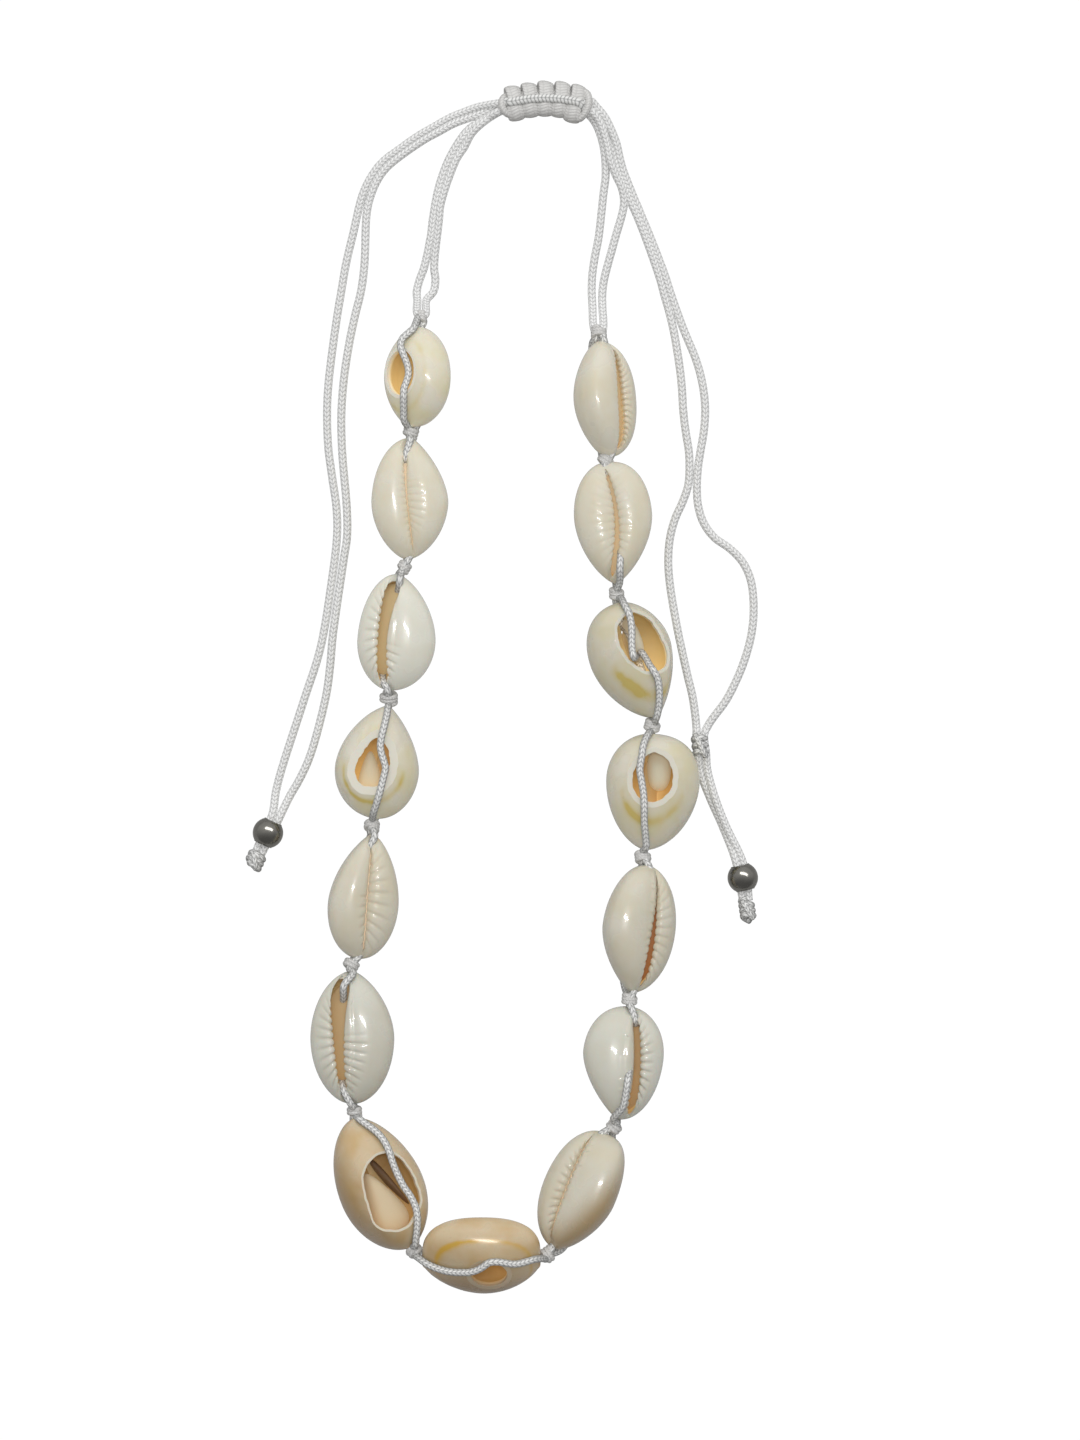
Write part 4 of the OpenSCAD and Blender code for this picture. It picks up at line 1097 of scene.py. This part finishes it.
def shell_skin(name, pale, warm, shade, inside, stripe, core=(0.56, 0.53, 0.43), glaze=0.07):
    """Glazed cowrie: pale body with warm patches, golden ring, ochre inside, chalky rim."""
    material, tree, shader = blank_material(
        name, IOR=1.5, Coat_Roughness=glaze, Subsurface_Weight=0.1, Subsurface_Scale=0.001,
        Emission_Strength=0.3)
    cloudy = new_node(tree, "ShaderNodeGroup", node_tree=CLOUDY)
    patches = cloudy.outputs["Patches"]
    colour = blend_colour(tree, patches, pale, warm)
    # ribs: grooves darkened and browned with the shade colour, partly their own brown, partly painted shade
    for name, part, over in (("rib", 0.42, shade), ("lip", 0.45, mixed(pale, inside, 0.3))):
        colour = blend_colour(tree, calc(tree, "MULTIPLY", mask(tree, name), part), colour, over)
    ring = calc(tree, "MULTIPLY", mask(tree, "ring"), calc(tree, "ADD", patches, 0.4))
    colour = blend_colour(tree, calc(tree, "MINIMUM", ring, 1.0), colour, stripe)
    # deep and sill: painted shade, darker deep in the hollow and on one side of the inner lip
    hollow = layered(tree, mixed(inside, pale, 0.15), [
        ("deep", mixed(inside, (0.20, 0.09, 0.02), 0.35)), ("sill", (0.55, 0.41, 0.21)),
        ("closed", mixed(pale, (0.62, 0.42, 0.24), 0.55)), ("ruddy", (0.36, 0.15, 0.05))])
    # side_shade is painted shade on one side of the shell
    colour = layered(tree, colour, [
        ("side_shade", mixed(shade, inside, 0.4)), ("inner", hollow), ("whorl", core),
        ("shadow", (0.21, 0.13, 0.07)), ("ground", mixed(pale, (0.82, 0.80, 0.70), 0.6))])
    # painted glow: the colour, scaled by the lit mask, is given out as emission
    glow = new_node(tree, "ShaderNodeVectorMath", {0: colour, "Scale": mask(tree, "lit")}, operation="SCALE")
    matt = calc(tree, "MAXIMUM", mask(tree, "inner"), mask(tree, "whorl"))
    dull = calc(tree, "MAXIMUM", mask(tree, "ground"), calc(tree, "MULTIPLY", mask(tree, "satin"), 0.75))
    rough = calc(tree, "MULTIPLY_ADD", matt, 0.3, 0.26)
    rough = calc(tree, "MULTIPLY_ADD", mask(tree, "ground"), 0.35, rough)
    bump = new_node(tree, "ShaderNodeBump",
                    {"Strength": 0.12, "Distance": 0.00005, "Height": cloudy.outputs["Grain"]})
    fill(tree, shader, {
        "Base Color": colour, "Emission Color": glow.outputs[0], "Normal": bump.outputs["Normal"],
        "Coat Weight": calc(tree, "SUBTRACT", 1.0, calc(tree, "MAXIMUM", matt, dull)),
        "Roughness": calc(tree, "MULTIPLY_ADD", patches, 0.06, rough)})
    return material


OCHRE_STRIPE = (0.66, 0.52, 0.16)
SKINS = {
    "white": shell_skin("white shell", (0.76, 0.75, 0.66), (0.73, 0.71, 0.60), (0.42, 0.37, 0.28),
                        (0.54, 0.38, 0.16), OCHRE_STRIPE),
    "cream": shell_skin("cream shell", (0.76, 0.72, 0.60), (0.73, 0.67, 0.51), (0.44, 0.34, 0.22),
                        (0.55, 0.38, 0.16), OCHRE_STRIPE),
    "honey": shell_skin("honey shell", (0.78, 0.735, 0.61), (0.75, 0.69, 0.47), (0.42, 0.34, 0.20),
                        (0.60, 0.45, 0.19), OCHRE_STRIPE),
    "amber": shell_skin("amber shell", (0.78, 0.735, 0.61), (0.75, 0.69, 0.47), (0.42, 0.34, 0.20),
                        (0.60, 0.39, 0.13), OCHRE_STRIPE, (0.58, 0.55, 0.42)),
    "peach": shell_skin("peach shell", (0.72, 0.58, 0.38), (0.66, 0.47, 0.24), (0.26, 0.16, 0.07),
                        (0.50, 0.31, 0.11), (0.70, 0.42, 0.06), (0.62, 0.51, 0.34), 0.2),
}


def braid_group():
    """Herringbone of a braided cord on its UV map: height, and how deep a gap is."""
    tree, start, end = group("braid", {"Rows round": 4.0, "Pitch mm": 0.72}, ["Height", "Gaps"])
    uv = new_node(tree, "ShaderNodeUVMap", uv_map="UVMap")
    split = new_node(tree, "ShaderNodeSeparateXYZ", {0: uv.outputs["UV"]})
    column = calc(tree, "MULTIPLY", split.outputs["X"], start.outputs["Rows round"])
    slant = calc(tree, "PINGPONG", column, 0.5)
    along = calc(tree, "DIVIDE", split.outputs["Y"], start.outputs["Pitch mm"])
    phase = calc(tree, "ADD", along, calc(tree, "MULTIPLY", slant, 1.4))
    ridge = calc(tree, "ABSOLUTE", calc(tree, "SINE", calc(tree, "MULTIPLY", phase, math.pi)))
    seam = calc(tree, "ABSOLUTE", calc(tree, "SINE", calc(tree, "MULTIPLY", column, 2 * math.pi)))
    height = calc(tree, "MULTIPLY", calc(tree, "POWER", ridge, 0.6), calc(tree, "POWER", seam, 0.35))
    fill(tree, end, {"Height": height, "Gaps": calc(tree, "SUBTRACT", 1.0, height)})
    return tree


BRAID = braid_group()


def braided_cord(name, rows, pitch, gap, pale, sides=0.0):
    """Glossy white braid with painted shade: gap is how dark the gaps between the plaits are
    painted, and sides how much darker the cord's sides are painted than its top."""
    # painted glow: each cord gives out a little of its own colour as emission
    material, tree, shader = blank_material(name, IOR=1.5, Sheen_Weight=0.2, Sheen_Roughness=0.4,
                                            Emission_Strength=0.06)
    braid = new_node(tree, "ShaderNodeGroup", node_tree=BRAID)
    fill(tree, braid, {"Rows round": rows, "Pitch mm": pitch})
    # painted shade: the gaps between the plaits are darkened
    gaps = calc(tree, "MULTIPLY", calc(tree, "POWER", braid.outputs["Gaps"], 1.3), gap)
    colour = blend_colour(tree, gaps, pale, (0.20, 0.20, 0.20))
    # painted shade: the cord's sides are darkened the more their normals turn from straight up
    facing = new_node(tree, "ShaderNodeTexCoord").outputs["Normal"]
    up = new_node(tree, "ShaderNodeSeparateXYZ", {0: facing}).outputs["Z"]
    lower = new_node(tree, "ShaderNodeMapRange", {"Value": up, "From Min": 0.95, "From Max": 0.25})
    shaded = calc(tree, "MULTIPLY", lower.outputs["Result"], sides)
    colour = blend_colour(tree, shaded, colour, (0.16, 0.16, 0.15))
    bump = new_node(tree, "ShaderNodeBump",
                    {"Strength": 0.6, "Distance": 0.00012, "Height": braid.outputs["Height"]})
    fill(tree, shader, {
        "Base Color": colour, "Emission Color": colour, "Normal": bump.outputs["Normal"],
        "Roughness": calc(tree, "MULTIPLY_ADD", braid.outputs["Gaps"], 0.4, 0.3)})
    return material


def polished_steel():
    """Dark polished steel, faintly uneven."""
    material, tree, shader = blank_material("polished steel", Metallic=1.0)
    spot = new_node(tree, "ShaderNodeTexCoord").outputs["Object"]
    noise = new_node(tree, "ShaderNodeTexNoise", {"Vector": spot, "Scale": 900.0, "Detail": 4.0})
    worn = noise.outputs["Fac"]
    bump = new_node(tree, "ShaderNodeBump", {"Strength": 0.1, "Distance": 0.00003, "Height": worn})
    fill(tree, shader, {
        "Base Color": blend_colour(tree, worn, (0.21, 0.205, 0.19), (0.33, 0.32, 0.29)),
        "Roughness": calc(tree, "MULTIPLY_ADD", worn, 0.08, 0.15), "Normal": bump.outputs["Normal"]})
    return material


# the last number of each cord is how much painted shade darkens its sides
CORD = braided_cord("braided cord", 4.0, 0.72, 0.7, (1.0, 1.0, 0.99))
STRAND = braided_cord("strand cord", 4.0, 0.72, 1.0, (1.0, 1.0, 0.98), 0.75)
# the knots are the same white cord in a greyer copy: painted shade
SHADED_KNOT_CORD = braided_cord("knot cord, shaded grey", 3.0, 0.42, 0.3, (0.78, 0.77, 0.75), 0.35)
CREST = braided_cord("crest cord", 2.0, 0.6, 1.0, (1.0, 1.0, 0.98), 0.5)
STEEL = polished_steel()


# The camera, straight above.
FRAME_HIGH = 230.4       # what the photograph's frame covers from top to bottom, mm
FRAME_MID = (5.6, -5.12)
CAMERA_UP = 900.0        # over the table, mm
SHARP_UP = 4.0           # the height at which the frame covers just that
SENSOR_HIGH = 36.0


def add_camera():
    data = bpy.data.cameras.new("camera")
    data.sensor_fit = "VERTICAL"
    data.sensor_height = SENSOR_HIGH
    data.lens = SENSOR_HIGH * (CAMERA_UP - SHARP_UP) / FRAME_HIGH
    data.clip_end = 10.0
    camera = bpy.data.objects.new("camera", data)
    camera.location = (FRAME_MID[0] * MM, FRAME_MID[1] * MM, CAMERA_UP * MM)
    bpy.context.scene.collection.objects.link(camera)
    bpy.context.scene.camera = camera


add_camera()

# The pieces.
for s in SHELLS:
    shell(s)


def slide_y(x):
    return SLIDE_TOP - SLIDE_BOW * (x - SLIDE_MID) ** 2


def slide_turn(x):
    return math.degrees(math.atan(-2 * SLIDE_BOW * (x - SLIDE_MID)))


def slide_face(e, across, out=0.41):
    """A point on the sliding knot's left (e = -1) or right (1) end face, out steps past
    its last slice."""
    x = SLIDE_MID + e * 3 * SLIDE_STEP
    o = turn_z([e, 0.0, 0.0], slide_turn(x))
    middle = np.array([x, slide_y(x), SLIDE_UP])
    return middle + SLIDE_STEP * out * o + across * np.array([-e * o[1], e * o[0], 0])


def on_table(points):
    """The points, each with its height."""
    return [p if len(p) == 3 else (*p, CORD_R) for p in points]


def drawn_in(name, route):
    """The route of a cord with its shift near the sliding knot."""
    route = np.array(route, float)
    far = distances(route)
    rows = np.array(DRAWN_IN[name], float)
    return route + np.stack([np.interp(far, rows[:, 0], rows[:, i]) for i in (1, 2, 3)], -1)


def above_table(route, radius):
    """The route with no point so low that the cord would sink into the table."""
    route[:, 2] = np.maximum(route[:, 2], radius + 0.01)
    return route


def add_cord(name, route, nodes, radius, material=CORD):
    fine = above_table(smooth_route(route, CORD_STEP), radius)
    finish_piece(cord_bmesh(fine, radius), name, material, nodes)


for letter, d in (("a", 1), ("b", -1)):
    add_cord("strand_" + letter, string_route(d), ["string_" + letter], STRAND_SEEN, STRAND)


def small_knot(k):
    at, way = knot_place(k)
    wide, tall = SMALL_KNOTS[k][:2]
    bm = knot_bmesh(at, way, wide, tall + 0.3, turns=2.8, radius=0.42,
                    spin=random.uniform(-0.6, 0.6), slant=0.15, over=False)
    finish_piece(bm, f"overhand_{k + 1}", SHADED_KNOT_CORD, [f"knot_{k + 1}"])


for k in range(16):
    small_knot(k)


def side_cord(name, e, across, points):
    """A cord from inside the sliding knot to the first or last small knot."""
    at, way = knot_place(0 if e < 0 else 15)
    side = unit([-way[1], way[0], 0])
    apart = (-1 if name in ("side_left_a", "side_right_b") else 1) * SIDE_STEP
    stop = at + e * KNOT_OFF * way + apart * side
    route = drawn_in(name, [slide_face(e, across)] + on_table(points) + [stop, at])
    route = np.vstack([slide_face(e, 0.4 * across, out=-0.6), route])
    add_cord(name.replace("side", "rope"), route, [name], CORD_SEEN)


for name, row in SIDE_CORDS.items():
    side_cord(name, *row)


def beside(at, way, i, x):
    """A point x mm on from at, and i times half the pair's distance to the side."""
    way = unit([*way[:2], 0])
    return np.array(at, float) + x * way + i * PAIR_HALF * np.array([-way[1], way[0], 0])


def tie_and_below(i):
    """A right tail strand's way through the tie and on towards the bead."""
    points = [beside(TIE_AT, TIE_WAY, i, x) for x in (-1.5, 1.5)]
    for point, (inward, apart, ride) in zip(RIGHT_LOWER, RIGHT_PAIR):
        shifted = np.add(point, (inward, 0, ride * (i > 0)))
        points.append(beside(shifted, LOWER_WAY, i * apart, 0))
    return points


def bead_and_knot(side, i):
    """A tail strand's way through its bead and into the end knot."""
    at, way = BEADS[side]
    at = (*at, BEAD_UP)
    before = i * (0.8 if side == "right" else 1)
    return [beside(at, way, before, -3.0), beside(at, way, i, 0.0),
            beside(at, END_WAY[side], 0.75 * i, BEAD_D / 2 + END_OUT + INTO_KNOT)]


def tail(name, e, across, i, points):
    route = [slide_face(e, across)] + on_table(points)
    if e > 0:
        route += tie_and_below(i)
    route += bead_and_knot("left" if e < 0 else "right", i)
    fine = above_table(smooth_route(drawn_in(name, route), CORD_STEP), CORD_SEEN)
    cord = finish_piece(cord_bmesh(fine, CORD_SEEN), name.replace("tail", "free"), CORD, [name])


for name, row in TAILS.items():
    tail(name, *row)


def bead(side):
    """A turned steel bead with softly rounded bore edges."""
    at, way = BEADS[side]
    r, b = BEAD_D / 2, BEAD_BORE / 2
    reach = math.sqrt(r * r - b * b)
    profile = [(b, -reach + 0.35), (b, reach - 0.35), (b + 0.06, reach - 0.1), (b + 0.2, reach - 0.04)]
    start = math.atan2(b + 0.3, reach - 0.06)
    for a in np.linspace(start, math.pi - start, 40):
        profile.append((r * math.sin(a), r * math.cos(a)))
    profile += [(b + 0.2, -reach + 0.04), (b + 0.06, -reach + 0.1)]
    bm = bmesh.new()
    verts = [bm.verts.new((x * MM, 0, y * MM)) for x, y in profile]
    edges = [bm.edges.new((verts[i], verts[(i + 1) % len(verts)])) for i in range(len(verts))]
    bmesh.ops.spin(bm, geom=verts + edges, axis=(0, 0, 1), cent=(0, 0, 0), angle=2 * math.pi,
                   steps=64, use_merge=True)
    bmesh.ops.remove_doubles(bm, verts=bm.verts, dist=WELD)
    for v in bm.verts:
        p = turn_z(turn_y(np.array(v.co), 90), math.degrees(math.atan2(way[1], way[0])))
        v.co = p + np.array([*at, BEAD_UP]) * MM
    finish_piece(bm, "steel_bead_" + side, STEEL, ["bead_" + side])


def end_knot(side):
    """The knot that stops a bead, and hangs its own way."""
    way = unit([*END_WAY[side], 0])
    length, wide, turns = END_KNOTS[side]
    middle = np.array([*BEADS[side][0], BEAD_UP]) + (BEAD_D / 2 + END_OUT + length / 2) * way
    bm = knot_bmesh(middle, way, wide, length, turns, radius=0.55, spin=0.6, slant=0.4)
    finish_piece(bm, "end_overhand_" + side, STRAND, ["end_knot_" + side])


def tie_knot():
    at = np.array(TIE_AT) + [-0.2, -0.2, 0.05]
    bm = knot_bmesh(at, TIE_WAY, wide=1.42, length=4.9, turns=3.4, radius=0.56, spin=1.0, slant=0.45)
    finish_piece(bm, "tail_overhand", STRAND, ["tail_tie"])


for side in BEADS:
    bead(side)
    end_knot(side)
tie_knot()


def on_slide(along, across, up):
    """Points of the sliding knot, from places along its bowed axis, across and up."""
    x = SLIDE_MID + np.asarray(along, float)
    turn = np.arctan(-2 * SLIDE_BOW * (x - SLIDE_MID))
    across, up = np.broadcast_arrays(np.asarray(across, float), np.asarray(up, float))
    return np.stack([x - across * np.sin(turn), slide_y(x) + across * np.cos(turn), up + 0 * x], -1)


SLIDE_PITCH = 2.45       # from one lump to the next
# the upper (1) and the lower (-1) row of lumps: how much further out each of them stands,
# from the left, then how much a band slants, its half width, and how unevenly they follow
SLIDE_ROWS = {
    1: ((0.15, 0.2, 0.35, 0.4, 0.3), 0.45, 1.3, 0.15),
    -1: ((0.2, 0.05, 0.0, 0.05, 0.55), -0.1, 1.36, 0.0),
}


def slide_bands(row, sizes, slant, wide, uneven):
    """One row of flat bands, each bent from the table outwards and up to the crest."""
    a = np.linspace(-0.35 * np.pi, 0.7 * np.pi, 18)
    bands = []
    for k, further in enumerate(sizes):
        middle = (k - (len(sizes) - 1) / 2) * SLIDE_PITCH + 0.1 * row
        across = row * (0.45 + (1.8 + further) * np.clip(np.cos(a), 0, 1) ** 0.8)
        along = middle + slant * (a / np.pi) + uneven * math.sin(3.1 * k)
        route = on_slide(along, across, 1.62 + 1.1 * np.sin(a))
        bands.append(cord_bmesh(smooth_route(route, CORD_STEP), wide, flat=0.36))
    return bands


def sliding_knot():
    """Square knots pulled tight: a row of flat bands on each side of a braided crest."""
    parts = [band for row, look in SLIDE_ROWS.items() for band in slide_bands(row, *look)]
    for end, wide in ((-1, 1.5), (1, 2.2)):
        a = np.linspace(-0.62 * np.pi, 0.62 * np.pi, 16)
        route = on_slide(end * (5.8 + 1.1 * np.cos(a)), wide * np.sin(a) - 0.2, 1.9 + 0.9 * np.cos(a))
        parts.append(cord_bmesh(smooth_route(route, CORD_STEP), 0.6))
    route = on_slide(np.linspace(-6.0, 6.0, 30), 0, 1.55)
    parts.append(cord_bmesh(smooth_route(route, CORD_STEP), 1.8, flat=0.6))
    finish_piece(joined(parts), "sliding_wraps", SHADED_KNOT_CORD, ["slide_knot"])
    along = np.linspace(-6.7, 6.5, 24)
    end = np.clip(np.abs(along) - 5.4, 0, None)
    route = on_slide(along, 0.1 - 0.55 * end * np.sign(along), 3.0 - 0.7 * end ** 1.5)
    crest = cord_bmesh(smooth_route(route, CORD_STEP), 0.72)
    finish_piece(crest, "sliding_crest", CREST, [])


sliding_knot()


# Table and light.

def pale_table():
    """A white table that shows almost no shadow, as in the photograph, and throws
    back only a little light."""
    material, tree, shader = blank_material("pale table", Roughness=0.9, Base_Color=(0.58, 0.58, 0.58, 1))
    glow = new_node(tree, "ShaderNodeEmission", {"Color": (1, 1, 1, 1), "Strength": 1.07})
    seen = new_node(tree, "ShaderNodeLightPath")
    seen = calc(tree, "MULTIPLY", seen.outputs["Is Camera Ray"], 0.94)
    both = new_node(tree, "ShaderNodeMixShader", {0: seen, 1: shader.outputs[0], 2: glow.outputs[0]})
    fill(tree, tree.nodes["Material Output"], {"Surface": both.outputs[0]})
    return material


def add_table():
    bm = bmesh.new()
    bmesh.ops.create_grid(bm, x_segments=1, y_segments=1, size=2.0)
    mesh = bpy.data.meshes.new("table")
    bm.to_mesh(mesh)
    bm.free()
    mesh.materials.append(pale_table())
    table = bpy.data.objects.new("table", mesh)
    bpy.context.scene.collection.objects.link(table)


def studio_world():
    """Soft light from all round, brighter from the photograph's top."""
    world = bpy.data.worlds.new("studio")
    bpy.context.scene.world = world
    world.use_nodes = True
    tree = world.node_tree
    way = new_node(tree, "ShaderNodeTexCoord").outputs["Generated"]
    split = new_node(tree, "ShaderNodeSeparateXYZ", {0: way})
    shaped = new_node(
        tree, "ShaderNodeMapRange",
        {"Value": split.outputs["Y"], "From Min": -0.75, "From Max": 0.75, "To Min": 0.2, "To Max": 0.66},
        interpolation_type="SMOOTHSTEP")
    fill(tree, tree.nodes["Background"], {"Strength": shaped.outputs["Result"], "Color": (1, 1, 1, 1)})


# name, place in metres, size in metres, watts
LAMPS = [
    ("key", (0.05, 0.85, 0.95), (0.9, 0.6), 3.7),
    ("tube", (0.03, 0.08, 1.3), (0.34, 0.05), 3.4),
    ("window", (0.16, 0.56, 0.92), (1.15, 0.32), 6.5),
]


def light_groups():
    """The objects that the tube lights, all but the steel, and that the window lights, the
    steel alone. Only these two lamps show in a glossy surface."""
    groups = {name: bpy.data.collections.new("lit by the " + name) for name in ("tube", "window")}
    for lit in groups.values():
        for side in BEADS:
            lit.objects.link(bpy.data.objects["steel_bead_" + side])
    for item in groups["tube"].collection_objects:
        item.light_linking.link_state = "EXCLUDE"
    return groups


def add_lamps():
    groups = light_groups()
    for name, at, size, watts in LAMPS:
        data = bpy.data.lights.new(name, "AREA")
        data.shape = "RECTANGLE"
        data.size, data.size_y = size
        data.energy = watts
        light = bpy.data.objects.new(name, data)
        light.location = at
        light.rotation_euler = Vector([-c for c in at]).to_track_quat("-Z", "Y").to_euler()
        light.visible_glossy = name in groups
        if name in groups:
            light.light_linking.receiver_collection = groups[name]
        bpy.context.scene.collection.objects.link(light)


add_table()
studio_world()
add_lamps()
bpy.context.scene.view_settings.view_transform = "Standard"
